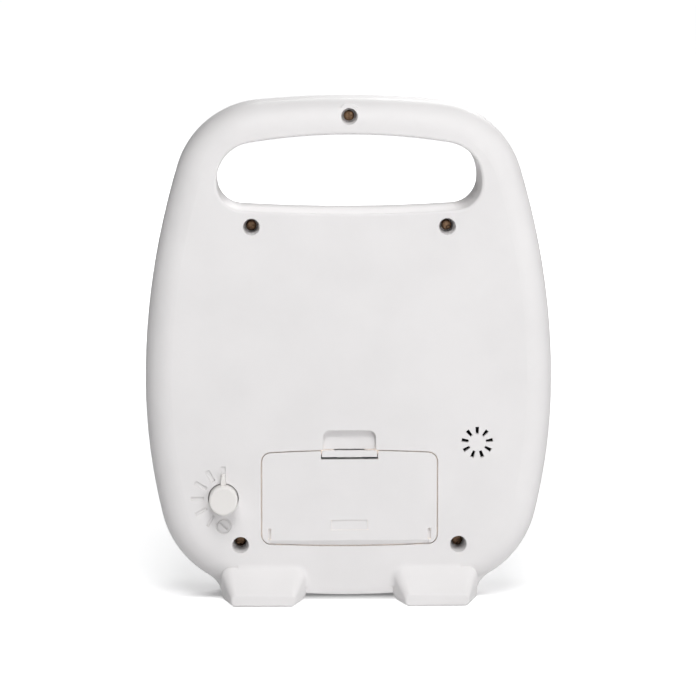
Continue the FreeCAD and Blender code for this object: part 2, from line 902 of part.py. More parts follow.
def near_slot(grown):
    half = float(d.case_width / 2 - d.slot_side + grown) + 0.01
    low, high = float(slot_bottom - grown) - 0.01, float(slot_top + grown) + 0.01

    def test(edge):
        box = edge.BoundBox
        return box.ZMin > low and box.ZMax < high and box.XMax < half and box.XMin > -half

    return test


def inside_slot(y):
    station, slot = level_edge(y), near_slot(0)
    return lambda edge: station(edge) and slot(edge)


def make_back_cover():
    body = new_body("back_cover")
    slab(case_outline(Draft(body, "outline", level=back_y)), split_y, back_y)
    round_edges(body, "rearRound", body.Tip, d.rear_round, level_edge(back_y))
    trim_base(body, split_y, back_y)
    add_feet(body, split_y, back_y)
    for side, label in ((1, "Right"), (-1, "Left")):
        last = add_toe(body, side, label)
    last = round_edges(body, "toeRound", last, d.heel_round, level_edge(back_y + d.foot_reach))
    round_edges(body, "footBlend", last, d.foot_blend, foot_seam)
    add_flares(body, split_y, back_y - d.flare_run, back_y - d.flare_end)
    hollow(body, split_y, inner_back, d.rear_round - d.wall)
    last = slot_outline(Draft(body, "handle", level=split_y)).pocket(d.rear_depth)
    round_edges(body, "handleRound", last, d.slot_mouth_round, inside_slot(back_y))
    pad_recesses(body, *rear_pad)
    add_tray(body)
    add_rear_bosses(body)
    add_sound_details(body)
    add_volume_details(body)
    return body


def foot_seam(edge):
    # the hollow corner where a toe's slope meets the flat of the back;
    # the blend runs on round the toe's inner side
    box, tiny = edge.BoundBox, 0.05
    level = level_edge(back_y)(edge) and abs(box.ZMax - float(d.foot_rise)) < tiny
    long = edge.Length > float(d.foot_outer - d.foot_inner) / 2
    return level and long and abs(box.ZMin - box.ZMax) < tiny


def add_tray(body):
    # the battery tray, the thick wall round the door and the finger recess above it
    low, high = tray_middle - tray_half_height, tray_middle + tray_half_height
    half_block = d.tray_half + d.tray_wall
    block = Draft(body, "trayBlock", level=inner_back)
    block.box(-half_block, half_block, low - d.tray_wall, high + d.tray_wall)
    slab(block, tray_front - d.tray_wall, inner_back)
    frame_half = d.door_width / 2 + d.door_gap + d.tray_wall
    frame = Draft(body, "doorFrame", level=inner_back)
    frame.box(-frame_half, frame_half, frame_low, d.door_top + latch_gap + d.tray_wall)
    slab(frame, frame_front, inner_back)
    backing_half = d.recess_half + d.tray_wall
    backing = Draft(body, "recessBacking", level=inner_back)
    backing.box(-backing_half, backing_half, d.door_top, recess_top + d.tray_wall)
    slab(backing, back_y - d.recess_depth - d.tray_wall, inner_back)
    room = Draft(body, "trayRoom", level=tray_front)
    room.box(-d.tray_half, d.tray_half, low, high).pocket(back_y - tray_front)
    opening = Draft(body, "doorOpening", level=door_floor)
    door_panel(opening, d.door_gap).pocket(back_y - door_floor)
    recess = Draft(body, "recess", level=back_y - d.recess_depth)
    recess_low = d.door_top - 2 * d.recess_corner
    recess.rounded_box(-d.recess_half, d.recess_half, recess_low, recess_top, d.recess_corner)
    recess.pocket(d.recess_depth)
    latch = Draft(body, "latchRoom", level=latch_room_front)
    half = d.latch_arm + 1
    latch.box(-half, half, tray_middle, d.door_top + latch_gap)
    latch.pocket(door_floor - latch_room_front)
    tabs = Draft(body, "tabRooms", level=tab_room_front)
    for middle in (d.tab_across, -d.tab_across):
        half = d.tab_width / 2 + 2 * d.door_gap
        tabs.box(middle - half, middle + half, d.door_bottom - d.tab_drop - 2 * d.door_gap, low + d.tray_wall)
    tabs.pocket(door_inner - tab_room_front)
    slots_near = tray_front - d.tray_wall
    slots = Draft(body, "tagSlots", level=slots_near)
    for height in (upper_cell, lower_cell):
        reach = d.tag_width / 2 + d.screw_clearance
        slots.box(d.tray_half - d.tray_wall / 2, half_block + d.tray_wall / 2, height - reach, height + reach)
    slots.pocket(tag_y + d.contact_thick + d.screw_clearance - slots_near)


def door_panel(draft, grown=0):
    return draft.bowed_panel(
        d.door_width / 2 + grown,
        d.door_bottom - grown,
        d.door_top + grown,
        d.door_corner + grown,
        d.door_bow + grown,
    )


def add_rear_bosses(body):
    for index, (places, depth) in enumerate(screw_groups):
        seat = seat_y(depth)
        end = seat - d.seat_floor
        bosses = Draft(body, "bosses%d" % index, level=inner_back)
        slab(circles(bosses, places, d.boss_radius), end, inner_back)
        narrow = d.well_radius - d.well_slope * (depth + d.head_height)
        wells = circles(Draft(body, "wells%d" % index, level=seat), places, narrow).pocket(back_y - seat)
        bind(wells, "TaperAngle", Size("atan(%s)" % d.well_slope.text, 0))
        holes = Draft(body, "holes%d" % index, level=end)
        circles(holes, places, d.shank_radius + d.screw_clearance).pocket(d.seat_floor)
    posts = Draft(body, "boardPosts", level=inner_back)
    slab(circles(posts, post_places, d.post_radius), board_back, inner_back)
    pilots = Draft(body, "boardPilots", level=board_back)
    circles(pilots, post_places, d.small_screw_radius + d.pilot_clearance).pocket(d.board_screw_length)


def spoke(inner, outer, inner_width, outer_width, degrees):
    # the corners of one radial mark; 0 degrees points up, and the angle grows towards +X
    angle = math.radians(degrees)
    out, side = (math.sin(angle), math.cos(angle)), (math.cos(angle), -math.sin(angle))
    ends = ((inner, -inner_width), (outer, -outer_width), (outer, outer_width), (inner, inner_width))
    return [tuple(radius * out[axis] + width * (side[axis] / 2) for axis in (0, 1)) for radius, width in ends]


def add_volume_details(body):
    across, height = d.volume_across, d.volume_height
    hole = Draft(body, "volumeHole", level=inner_back, across=across, up=height)
    hole.circle(0, 0, d.volume_radius + d.volume_gap).pocket(d.wall)
    marks = Draft(body, "volumeMarks", level=back_y - d.mark_depth, across=across, up=height)
    last_mark = 5
    for mark in range(last_mark + 1):
        width = d.mark_widest + (d.mark_narrowest - d.mark_widest) * (mark / last_mark)
        marks.polygon(spoke(d.mark_inner, d.mark_outer, width, width, d.mark_step.value * mark))
    marks.circle(0, -d.mute_drop, d.mute_radius)
    marks.circle(0, -d.mute_drop, d.mute_radius - d.mute_line)
    reach = d.mute_radius - 1.5 * d.mute_line
    slash = spoke(-reach, reach, d.mute_line, d.mute_line, 45)
    marks.polygon([(x, y - d.mute_drop) for x, y in slash])
    marks.pocket(d.mark_depth)


def add_sound_details(body):
    across, height = d.speaker_across, d.speaker_height
    rim = Draft(body, "speakerRim", level=inner_back, across=across, up=height)
    inner = d.speaker_radius + d.slide_clearance
    rim.circle(0, 0, inner + d.speaker_rim)
    rim.circle(0, 0, inner)
    slab(rim, inner_back - d.gasket_thick - d.speaker_depth, inner_back)
    slot = Draft(body, "soundSlot", level=inner_back, across=across, up=height)
    slot.polygon(spoke(d.sound_inner, d.sound_outer, d.sound_inner_width, d.sound_outer_width, 0))
    cut = slot.pocket(d.wall)
    fan = body.newObject("PartDesign::PolarPattern", "soundFan")
    fan.Originals = [cut]
    fan.Axis = (slot.sketch, ["N_Axis"])
    fan.Angle = 360
    fan.Refine = False
    bind(fan, "Occurrences", d.sound_count)
    body.Tip = fan
    doc.recompute()


def make_door():
    body = new_body("battery_door")
    slab(door_panel(Draft(body, "panel", level=back_y)), door_inner, back_y)
    bevel = Draft(body, "bevel", role="YZ_Plane")
    low = d.door_bottom - d.door_bevel
    bevel.polygon([(back_y - d.door_bevel, low), (back_y, low), (back_y, d.door_bottom + d.bevel_height)])
    bevel.pocket(2 * d.groove_across, Midplane=True)
    notch = Draft(body, "latchNotch", level=door_inner)
    half = d.latch_half + d.latch_side_gap
    notch.box(-half, half, d.door_top - d.latch_height - latch_gap, d.door_top + 1).pocket(d.door_thick)
    tabs = Draft(body, "tabRoots", level=door_inner)
    toes = Draft(body, "tabToes", level=door_inner - d.ledge_gap - 0.1)
    for middle in (d.tab_across, -d.tab_across):
        half = d.tab_width / 2
        root = d.door_bottom + d.door_gap
        tabs.box(middle - half, middle + half, root, root + d.tab_thick)
        toes.box(middle - half, middle + half, d.door_bottom - d.tab_drop, root + d.tab_thick)
    slab(tabs, door_inner - d.tab_thick, door_inner)
    toes.pad(d.tab_thick - d.ledge_gap - 0.1)
    ribs = Draft(body, "ribs", level=door_inner)
    for middle in (-d.rib_across, Size.of(0), d.rib_across):
        half, reach = d.rib_width / 2, d.rib_half_height
        ribs.box(middle - half, middle + half, tray_middle - reach, tray_middle + reach)
    slab(ribs, cell_y + d.cell_radius + d.cell_gap, door_inner)
    grooves = Draft(body, "grooves", level=back_y - d.groove_depth)
    for middle in (d.groove_across, -d.groove_across):
        half = d.groove_width / 2
        grooves.box(middle - half, middle + half, d.groove_low, d.groove_low + d.groove_length)
    grooves.pocket(d.groove_depth)
    mark = Draft(body, "plateMark", level=back_y - d.plate_mark_depth)
    half, low = d.plate_mark_half, d.plate_mark_low
    mark.box(-half, half, low, low + d.plate_mark_high)
    mark.pocket(d.plate_mark_depth)
    return body


def make_latch():
    # the tongue: an outer lip with a catch, and a strip that turns back behind the door
    body = new_body("door_latch")
    lip = Draft(body, "lip", level=back_y - d.latch_inset)
    half = d.latch_half
    lip.box(-half, half, d.door_top - d.latch_height, d.door_top)
    slab(lip, door_inner, back_y - d.latch_inset)
    strip = d.latch_strip
    near, turn = door_inner, door_inner - d.latch_reach
    top = d.door_top - 0.3
    low = top - 3 * strip
    bend = Draft(body, "bend", role="YZ_Plane", level=-d.latch_arm)
    bend.polygon(
        [
            (near + 0.5, top),
            (near + 0.5, top - strip),
            (turn + strip, top - strip),
            (turn + strip, low + strip),
            (near - d.ledge_gap, low + strip),
            (near - d.ledge_gap, low),
            (turn, low),
            (turn, top),
        ]
    )
    bend.pad(2 * d.latch_arm)
    return body


# Pieces that turn about the dial's axis are made lying flat: X up the dial, Y to the left
# and Z towards the viewer, and then turned to face the front.
facing = Rotation(Vector(0, 0, 1), Vector(-1, 0, 0), Vector(0, -1, 0), "ZXY")


def feature(label, shape, across=0.0, y=0.0, height=0.0, rotation=None):
    item = doc.addObject("Part::Feature", label)
    item.Label = label
    item.Shape = shape
    item.Placement = Placement(at(across, y, height), rotation or Rotation()).multiply(shape.Placement)
    return item


def rod(radius, low, high, x=0.0, y=0.0):
    return Part.makeCylinder(float(radius), float(high) - float(low), at(x, y, low))


def block(left, right, near, far, low, high):
    size = (float(right) - float(left), float(far) - float(near), float(high) - float(low))
    return Part.makeBox(*size, at(left, near, low))


def joined(first, *others):
    return first.fuse(list(others)).removeSplitter()


def helical_sheet(inner, outer, pitch, start_degrees, sweep_degrees, thick):
    # a flat ribbon that climbs towards the viewer as it turns, centred on z = 0 at 0 degrees
    turns = sweep_degrees / 360
    edges = [Part.makeHelix(pitch, pitch * turns, radius).Edges[0] for radius in (inner, outer)]
    sheet_shape = Part.makeRuledSurface(*edges).extrude(Vector(0, 0, thick))
    sheet_shape.translate(Vector(0, 0, pitch * start_degrees / 360 - thick / 2))
    sheet_shape.rotate(Vector(0, 0, 0), Vector(0, 0, 1), start_degrees)
    return sheet_shape


def toothed(teeth, module, low, high, phase):
    # a wheel's rim as one closed outline of straight-flanked teeth; phase is a tooth's direction
    pitch_radius = teeth * module / 2
    step = 2 * math.pi / teeth
    profile = (
        (pitch_radius - 1.3 * module, -0.36),
        (pitch_radius + 0.75 * module, -0.12),
        (pitch_radius + 0.75 * module, 0.12),
        (pitch_radius - 1.3 * module, 0.36),
    )
    corners = []
    for tooth in range(teeth):
        for radius, share in profile:
            angle = phase + (tooth + share) * step
            corners.append(Vector(radius * math.cos(angle), radius * math.sin(angle), float(low)))
    outline = Part.makePolygon(corners + corners[:1])
    return Part.Face(outline).extrude(Vector(0, 0, float(high) - float(low)))


def make_lens():
    body = new_body("lens", z=d.dial_height)
    half = d.window_half + d.ledge - d.lens_clearance
    draft = Draft(body, "pane", level=lens_back)
    draft.rounded_box(-half, half, -half, half, d.window_corner + d.ledge - d.lens_clearance)
    draft.circle(0, 0, d.lens_hole)
    slab(draft, lens_front, lens_back)
    return body


def make_face():
    # a flat frame whose middle is one turn of a helix, open along a slit at the top
    body = new_body("face_frame", z=d.dial_height)
    draft = Draft(body, "frame", level=face_back)
    half = d.face_half
    draft.rounded_box(-half, half, -half, half, d.face_corner)
    draft.circle(0, 0, d.disk_radius + d.disk_gap)
    slab(draft, face_front, face_back)
    standoffs = Draft(body, "standoffs", level=plate_front, up=-d.dial_height)
    slab(circles(standoffs, chassis_places, d.standoff_radius), face_back, plate_front)
    holes = Draft(body, "screwHoles", level=face_front, up=-d.dial_height)
    circles(holes, chassis_places, d.small_screw_radius + d.screw_clearance).pocket(plate_front - face_front)
    notches = Draft(body, "bossNotches", level=face_front, up=-d.dial_height)
    case_places = screw_groups[1][0] + screw_groups[2][0]
    circles(notches, case_places, d.boss_radius + d.boss_notch).pocket(d.face_thick)
    doc.recompute()
    pitch, slit = float(d.helix_pitch), float(d.slit_angle)
    outer = float(d.disk_radius + d.disk_gap) + 0.2
    spiral = helical_sheet(float(d.face_hole), outer, pitch, slit, 360 - 2 * slit, float(d.sheet_thick))
    spiral = feature("face_spiral", spiral, 0, sheet_start, d.dial_height, facing)
    return fused("dial_face", body, spiral)


def fused(label, *pieces):
    item = doc.addObject("Part::MultiFuse", label)
    item.Label = label
    item.Shapes = list(pieces)
    item.Refine = False
    doc.recompute()
    return item


def make_disk():
    # the sheet ends at the minutes shown; what isn't shown lies behind the face
    shown = 360 * d.minutes_shown.value / 60
    spare = 2 * d.slit_angle.value
    pitch, thick = float(d.helix_pitch), float(d.sheet_thick)
    inner = float(d.hub_radius + d.slide_clearance)
    ribbon = helical_sheet(
        inner + 0.3, float(d.disk_radius), pitch, shown - 360 + spare, 360 - spare, thick
    )
    low = pitch * (shown - 360) / 360 - float(d.collar_margin)
    high = pitch * shown / 360 + float(d.collar_margin)
    collar = rod(d.collar_radius, low, high).cut(rod(inner, low - 1, high + 1))
    place_y = sheet_start - d.helix_pitch / 2
    return feature("red_disk", joined(collar, ribbon), 0, place_y, d.dial_height, facing)


def make_knob():
    body = new_body("setting_knob", z=d.dial_height)
    rear = lens_front - d.knob_gap
    top = front_y - d.knob_proud
    skirt = rear - d.knob_skirt
    bore_end = skirt + d.grip_round / 2
    profile = Draft(body, "profile", role="YZ_Plane")
    hub_end = plate_front - d.knob_gap
    bore = d.spindle_radius + d.pilot_clearance
    profile.polygon(
        [
            (skirt, 0),
            (skirt, d.knob_radius - d.grip_round),
            (skirt + d.grip_round, d.knob_radius),
            (rear, d.knob_radius),
            (rear, d.hub_radius),
            (hub_end, d.hub_radius),
            (hub_end, bore),
            (bore_end, bore),
            (bore_end, 0),
        ]
    )
    profile.turn()
    grip = Draft(body, "grip", level=skirt + d.grip_round / 4)
    half, reach = d.grip_width / 2, d.grip_length / 2
    grip.rounded_box(-half, half, -reach, reach, half * 0.98)
    last = slab(grip, top, skirt + d.grip_round / 4)
    round_edges(body, "gripRound", last, d.grip_round, level_edge(top))
    return body


# The movement: each arbor is a direction (degrees, counter-clockwise from the top, seen from
# the front) and a distance from the one before it
wheel_teeth = {"clutch": 72, "middle": 60, "first": 60}
pinion_teeth = 8


def mesh_distance(teeth):
    return d.wheel_module * ((teeth + pinion_teeth) / 2)


def from_here(place, degrees, reach):
    angle = math.radians(degrees)
    return (place[0] - math.sin(angle) * reach, place[1] + math.cos(angle) * reach)


arbor_turn = {"middle": 45.0, "first": -45.0, "rotor": -120.0}
spindle_place = (Size.of(0), d.dial_height)
middle_place = from_here(spindle_place, arbor_turn["middle"], mesh_distance(wheel_teeth["clutch"]))
first_place = from_here(middle_place, arbor_turn["first"], mesh_distance(wheel_teeth["middle"]))
rotor_place = from_here(first_place, arbor_turn["rotor"], mesh_distance(wheel_teeth["first"]))

movement_left, movement_right = -d.movement_width / 2, d.movement_width / 2
movement_low, movement_high = d.dial_height - d.movement_below, d.dial_height + d.movement_above
inside_front = plate_back + d.movement_wall
inside_back = movement_back - d.movement_wall
layer_pitch = d.wheel_thick + d.layer_gap
clutch_y = inside_front + d.front_play
middle_y = clutch_y + layer_pitch
first_y = middle_y + layer_pitch
rotor_y = first_y + layer_pitch
arbor_front = inside_front - d.bearing_depth
arbor_back = inside_back + d.bearing_depth
post_across = d.movement_width / 2 - d.movement_post_inset
movement_posts = pair(post_across, movement_low + d.movement_post_inset)
movement_posts += pair(post_across, movement_high - d.movement_post_inset)
arbors = [middle_place, first_place, rotor_place]


def make_movement_case():
    body = new_body("movement_case")
    draft = Draft(body, "box", level=inside_back)
    draft.rounded_box(movement_left, movement_right, movement_low, movement_high, d.movement_corner)
    slab(draft, plate_back, inside_back)
    room = Draft(body, "room", level=inside_front)
    edge = d.movement_wall
    room.rounded_box(
        movement_left + edge,
        movement_right - edge,
        movement_low + edge,
        movement_high - edge,
        d.movement_corner - edge,
    )
    room.pocket(inside_back - inside_front)
    posts = Draft(body, "posts", level=inside_back)
    slab(circles(posts, movement_posts, d.movement_post), plate_back, inside_back)
    pegs = Draft(body, "statorPegs", level=stator_y)
    slab(circles(pegs, stator_pegs, d.peg_radius), inside_front, stator_y)
    slot = Draft(body, "wireSlot", role="XY_Plane", level=movement_low)
    first_lead = d.movement_board_left + d.lead_inset
    left, right = first_lead - d.wire_pitch, first_lead + 2 * d.wire_pitch
    slot.box(left, right, movement_board_front - 2 * d.wire_pitch, inside_back)
    slot.pocket(d.movement_wall, Reversed=True)
    holes = Draft(body, "screwHoles", level=plate_back)
    circles(holes, movement_posts, d.small_screw_radius + d.screw_clearance).pocket(d.movement_depth)
    bearings = Draft(body, "bearings", level=arbor_front)
    circles(bearings, arbors, d.staff_radius + d.bearing_clearance).pocket(d.bearing_depth)
    spindle_hole = Draft(body, "spindleHole", level=plate_back)
    circles(spindle_hole, [spindle_place], d.spindle_radius + d.bearing_clearance).pocket(d.movement_wall)
    return body


def make_movement_cover():
    body = new_body("movement_cover")
    draft = Draft(body, "plate", level=movement_back)
    draft.rounded_box(movement_left, movement_right, movement_low, movement_high, d.movement_corner)
    slab(draft, inside_back, movement_back)
    holes = Draft(body, "screwHoles", level=inside_back)
    circles(holes, movement_posts, d.small_screw_radius + d.screw_clearance).pocket(d.movement_wall)
    bearings = Draft(body, "bearings", level=inside_back)
    circles(bearings, arbors, d.staff_radius + d.bearing_clearance).pocket(d.bearing_depth)
    spindle_hole = Draft(body, "spindleHole", level=inside_back)
    circles(spindle_hole, [spindle_place], d.spindle_radius + d.bearing_clearance).pocket(d.bearing_depth)
    feet = Draft(body, "boardFeet", level=inside_back)
    slab(circles(feet, board_feet, d.movement_post / 2), movement_board_back, inside_back)
    return body


def make_movement_plate():
    body = new_body("movement_plate", z=d.dial_height)
    draft = Draft(body, "plate", level=plate_back)
    half = d.plate_half
    draft.rounded_box(-half, half, -half, half, d.plate_corner)
    draft.circle(0, 0, d.plate_hole)
    slab(draft, plate_front, plate_back)
    notches = Draft(body, "bossNotches", level=plate_front, up=-d.dial_height)
    case_places = screw_groups[1][0] + screw_groups[2][0]
    circles(notches, case_places, d.boss_radius + d.boss_notch).pocket(d.plate_thick)
    holes = Draft(body, "chassisHoles", level=plate_front, up=-d.dial_height)
    circles(holes, chassis_places, d.small_screw_radius + d.screw_clearance).pocket(d.plate_thick)
    pilots = Draft(body, "movementPilots", level=plate_front, up=-d.dial_height)
    circles(pilots, movement_posts, d.small_screw_radius + d.pilot_clearance).pocket(d.plate_thick)
    return body


def to_front(y, base):
    # how far a station lies in front of another, as pieces lying flat count it
    return float(base) - float(y)


def arbor_shape(base, pieces):
    # pivots right through, and rims, pinions or magnets between two stations each
    low, high = to_front(arbor_back - d.end_play, base), to_front(arbor_front + d.end_play, base)
    return joined(rod(d.staff_radius, low, high), *pieces)


def mesh_phase(degrees, teeth, gap):
    # the direction of one tooth (or gap) of a wheel that meets its neighbour in that direction
    return math.radians(degrees) + (math.pi / teeth if gap else 0.0)


def make_train():
    module = float(d.wheel_module)
    thick = float(d.wheel_thick)
    clutch_phase = mesh_phase(arbor_turn["middle"], wheel_teeth["clutch"], True)
    clutch_rim = toothed(wheel_teeth["clutch"], module, -thick, 0, clutch_phase)
    bore = d.spindle_radius + d.bearing_clearance
    hub = rod(d.clutch_hub, -thick - float(d.layer_gap) / 2, 0)
    through = float(d.movement_depth)
    clutch = clutch_rim.fuse(hub).cut(rod(bore, -through, through))
    feature("clutch_wheel", clutch, 0, clutch_y, d.dial_height, facing)
    steps = (
        ("middle", "first", middle_place, middle_y, clutch_y),
        ("first", "rotor", first_place, first_y, middle_y),
    )
    for name, following, place, wheel_y, pinion_y in steps:
        teeth, label = wheel_teeth[name], name + "_wheel"
        back_turn, on_turn = arbor_turn[name], arbor_turn[following]
        rim = toothed(teeth, module, -thick, 0, mesh_phase(on_turn, teeth, True))
        front = to_front(pinion_y, wheel_y)
        pinion = toothed(pinion_teeth, module, 0, front, mesh_phase(back_turn + 180, pinion_teeth, False))
        shape = arbor_shape(wheel_y, [rim, pinion])
        feature(label, shape, place[0], wheel_y, place[1], facing)
    front = to_front(first_y, rotor_y)
    pinion_low = front - thick
    phase = mesh_phase(arbor_turn["rotor"] + 180, pinion_teeth, False)
    pinion = toothed(pinion_teeth, module, pinion_low - 0.2, front, phase)
    magnet = rod(d.magnet_radius, -float(d.magnet_length), 0)
    neck = rod(d.staff_radius * 1.6, 0, pinion_low)
    shape = arbor_shape(rotor_y, [pinion, magnet, neck])
    feature("rotor", shape, rotor_place[0], rotor_y, rotor_place[1], facing)


washer_y = clutch_y + d.wheel_thick + d.layer_gap / 2 + d.washer_gap
spindle_tip = lens_front - d.knob_gap - d.knob_skirt + d.grip_round / 2 + d.tip_gap


def make_spindle():
    # the spindle with the collar that the clutch's spring washer leans on, and that washer
    low, high = to_front(arbor_back - d.end_play, plate_back), to_front(spindle_tip, plate_back)
    collar_y = washer_y + d.washer_rise + d.washer_gap
    rear, front = to_front(collar_y + d.collar_length, plate_back), to_front(collar_y, plate_back)
    shape = joined(rod(d.spindle_radius, low, high), rod(d.spindle_collar, rear, front))
    feature("spindle", shape, 0, plate_back, d.dial_height, facing)
    through = float(d.movement_depth)
    bore = rod(d.spindle_radius + d.pilot_clearance, -through, through)
    cones = []
    for lift in (0.0, -float(d.washer_thick)):
        cone = Part.makeCone(float(d.clutch_hub), float(d.spindle_collar) - 0.2, float(d.washer_rise))
        cone.translate(Vector(0, 0, lift))
        cones.append(cone)
    cup = cones[0].cut(cones[1]).cut(bore)
    cup.rotate(Vector(0, 0, 0), Vector(1, 0, 0), 180)
    feature("clutch_spring", cup, 0, washer_y, d.dial_height, facing)


stator_y = rotor_y + (d.magnet_length - d.stator_thick) / 2
coil_across = rotor_place[0] + d.coil_out
coil_low = movement_low + d.coil_base
coil_high = rotor_place[1] - d.magnet_radius - d.stator_ring
core_front = stator_y + d.stator_thick + d.seat_gap
core_middle = core_front + d.stator_thick / 2
core_low, core_high = coil_low - d.core_width, coil_high + d.core_width
stator_pegs = [
    (coil_across - 2 * d.core_width, coil_low - d.core_width / 2),
    (coil_across - d.core_width / 2, coil_high + d.core_width / 2),
]


def make_stator():
    body = new_body("stator")
    level = stator_y + d.stator_thick
    across, height = rotor_place
    bore = d.magnet_radius + d.stator_gap
    outer = bore + d.stator_ring
    right = coil_across + d.core_width / 2
    slab(Draft(body, "ring", level=level, across=across, up=height).circle(0, 0, outer), stator_y, level)
    slab(Draft(body, "upperArm", level=level).box(across, right, coil_high, core_high), stator_y, level)
    left = across - outer
    slab(Draft(body, "sideArm", level=level).box(left, left + d.core_width, core_low, height), stator_y, level)
    slab(Draft(body, "lowerArm", level=level).box(left, right, core_low, coil_low), stator_y, level)
    hole = Draft(body, "rotorHole", level=stator_y, across=across, up=height)
    hole.circle(0, 0, bore).pocket(d.stator_thick)
    return body


def make_coil():
    # the winding between its two flanges, on a core whose ends lie on the stator
    body = new_body("coil", x=coil_across, y=core_middle)
    winding = Draft(body, "winding", role="XY_Plane", level=coil_low)
    winding.circle(0, 0, d.coil_radius - 0.4).pad(coil_high - coil_low)
    for name, level in (("lowFlange", coil_low), ("highFlange", coil_high - d.flange_thick)):
        half = d.coil_radius
        ring = Draft(body, name, role="XY_Plane", level=level)
        ring.rounded_box(-half, half, -half, half, half * 0.3).pad(d.flange_thick)
    core = Draft(body, "core", role="XY_Plane", level=core_low)
    half, deep = d.core_width / 2, d.stator_thick / 2
    core.box(-half, half, -deep, deep).pad(core_high - core_low)
    return body


# The small board stands on two feet of the movement's cover
movement_board_back = inside_back - d.movement_board_gap
movement_board_front = movement_board_back - d.movement_board_thick
movement_board_low = movement_low + d.movement_board_rise
movement_board_high = movement_board_low + d.movement_board_height
board_feet = [
    (d.movement_board_left + d.movement_post, movement_board_low + d.movement_post),
    (d.movement_board_right - d.movement_post, movement_board_high - d.movement_post),
]


def make_movement_board():
    body = new_body("movement_board")
    plate = Draft(body, "plate", level=movement_board_back)
    plate.box(d.movement_board_left, d.movement_board_right, movement_board_low, movement_board_high)
    slab(plate, movement_board_front, movement_board_back)
    place_y = movement_board_front - d.crystal_radius - d.seat_gap
    crystal = rod(d.crystal_radius, 0, d.crystal_length)
    feature("quartz_crystal", crystal, d.movement_board_left + 3, place_y, movement_board_low + 8)
    return body


# Screws: the head's underside is at zero, the shank runs down from it and the top is up
backing = Rotation(Vector(1, 0, 0), Vector(0, 0, -1), Vector(0, 1, 0), "ZXY")


def screw(head, height, shank, length):
    cap = rod(head, 0, height)
    rim = [edge for edge in cap.Edges if edge.BoundBox.ZMin > float(height) - 0.01 and edge.isClosed()]
    cap = cap.makeFillet(float(height) * 0.45, rim)
    cap = cap.fuse(rod(shank, -float(length), 0))
    half, reach = float(d.cross_width) * float(head) / float(d.head_radius) / 2, float(head) * 0.62
    depth = float(d.cross_depth) * float(height) / float(d.head_height)
    low, high = float(height) - depth, float(height) + 1
    for across, along in ((half, reach), (reach, half)):
        cap = cap.cut(block(-across, across, -along, along, low, high))
    return cap


def screws(label, places, rotation, shape):
    # one node for a set of equal screws; places are x, y, z of their heads' undersides
    copies = []
    for x, y, z in places:
        copy = shape.copy()
        copy.Placement = Placement(at(x, y, z), rotation)
        copies.append(copy)
    return feature(label, Part.makeCompound(copies))


def small_screw(length):
    return screw(d.small_head_radius, d.small_head_height, d.small_screw_radius, length)


def make_screws():
    places = [(x, seat_y(depth), z) for group, depth in screw_groups for x, z in group]
    screws("case_screws", places, backing, screw(d.head_radius, d.head_height, d.shank_radius, d.screw_length))
    length = plate_back - front_y - d.lens_inset - d.small_screw_end
    screws("chassis_screws", [(x, plate_back, z) for x, z in chassis_places], backing, small_screw(length))
    length = movement_back - plate_front - d.small_screw_end
    screws("movement_screws", [(x, movement_back, z) for x, z in movement_posts], backing, small_screw(length))
    length = d.board_thick + d.board_screw_length - d.small_screw_end
    screws("board_screws", [(x, board_front, z) for x, z in post_places], facing, small_screw(length))


def make_sound_board():
    body = new_body("sound_board")
    plate = Draft(body, "plate", level=board_back)
    slab(plate.box(d.board_left, d.board_right, d.board_bottom, d.board_top), board_front, board_back)
    holes = Draft(body, "screwHoles", level=board_front)
    circles(holes, post_places, d.small_screw_radius + d.screw_clearance).pocket(d.board_thick)
    left, right = d.board_left + 6, d.board_right - 5
    low = d.board_bottom + 8
    chip = block(left, right, board_front - 1.3, board_front - d.seat_gap, low, low + 6)
    feature("sound_chip", chip)
    return body


def make_volume_control():
    body = new_body("volume_control", x=d.volume_across, z=d.volume_height)
    half = d.control_radius
    base = Draft(body, "base", level=board_back + d.control_base)
    slab(base.rounded_box(-half, half, -half, half, half * 0.2), board_back, board_back + d.control_base)
    neck = Draft(body, "neck", level=control_back)
    slab(neck.circle(0, 0, d.control_neck), board_back + d.control_base, control_back)
    hole = Draft(body, "hole", level=board_back + 1)
    hole.circle(0, 0, d.volume_shaft + d.bearing_clearance).pocket(control_back - board_back)
    return body


volume_front = inner_back - d.volume_floor
volume_roof_y = back_y + d.volume_proud - d.volume_roof


def make_volume_knob():
    body = new_body("volume_knob", x=d.volume_across, z=d.volume_height)
    top = back_y + d.volume_proud
    slab(Draft(body, "cap", level=top).circle(0, 0, d.volume_radius), volume_front, top)
    round_edges(body, "capRound", body.Tip, d.volume_round, level_edge(top))
    fin_low = back_y + d.pointer_lift
    fin = Draft(body, "pointer", level=fin_low + d.pointer_thick)
    fin.polygon(spoke(d.volume_shaft + 1, d.pointer_reach, d.pointer_root, d.pointer_tip, 0))
    slab(fin, fin_low, fin_low + d.pointer_thick)
    bore = Draft(body, "bore", level=volume_front)
    bore.circle(0, 0, d.volume_shaft + d.pilot_clearance).pocket(volume_roof_y - volume_front)
    start = board_back + 1 + d.end_play
    length = volume_roof_y - d.tip_gap - start
    shaft = rod(d.volume_shaft, 0, length)
    feature("volume_shaft", shaft, d.volume_across, start, d.volume_height, backing)
    return body


speaker_back = inner_back - d.gasket_thick - d.seat_gap
speaker_front = inner_back - d.gasket_thick - d.speaker_depth


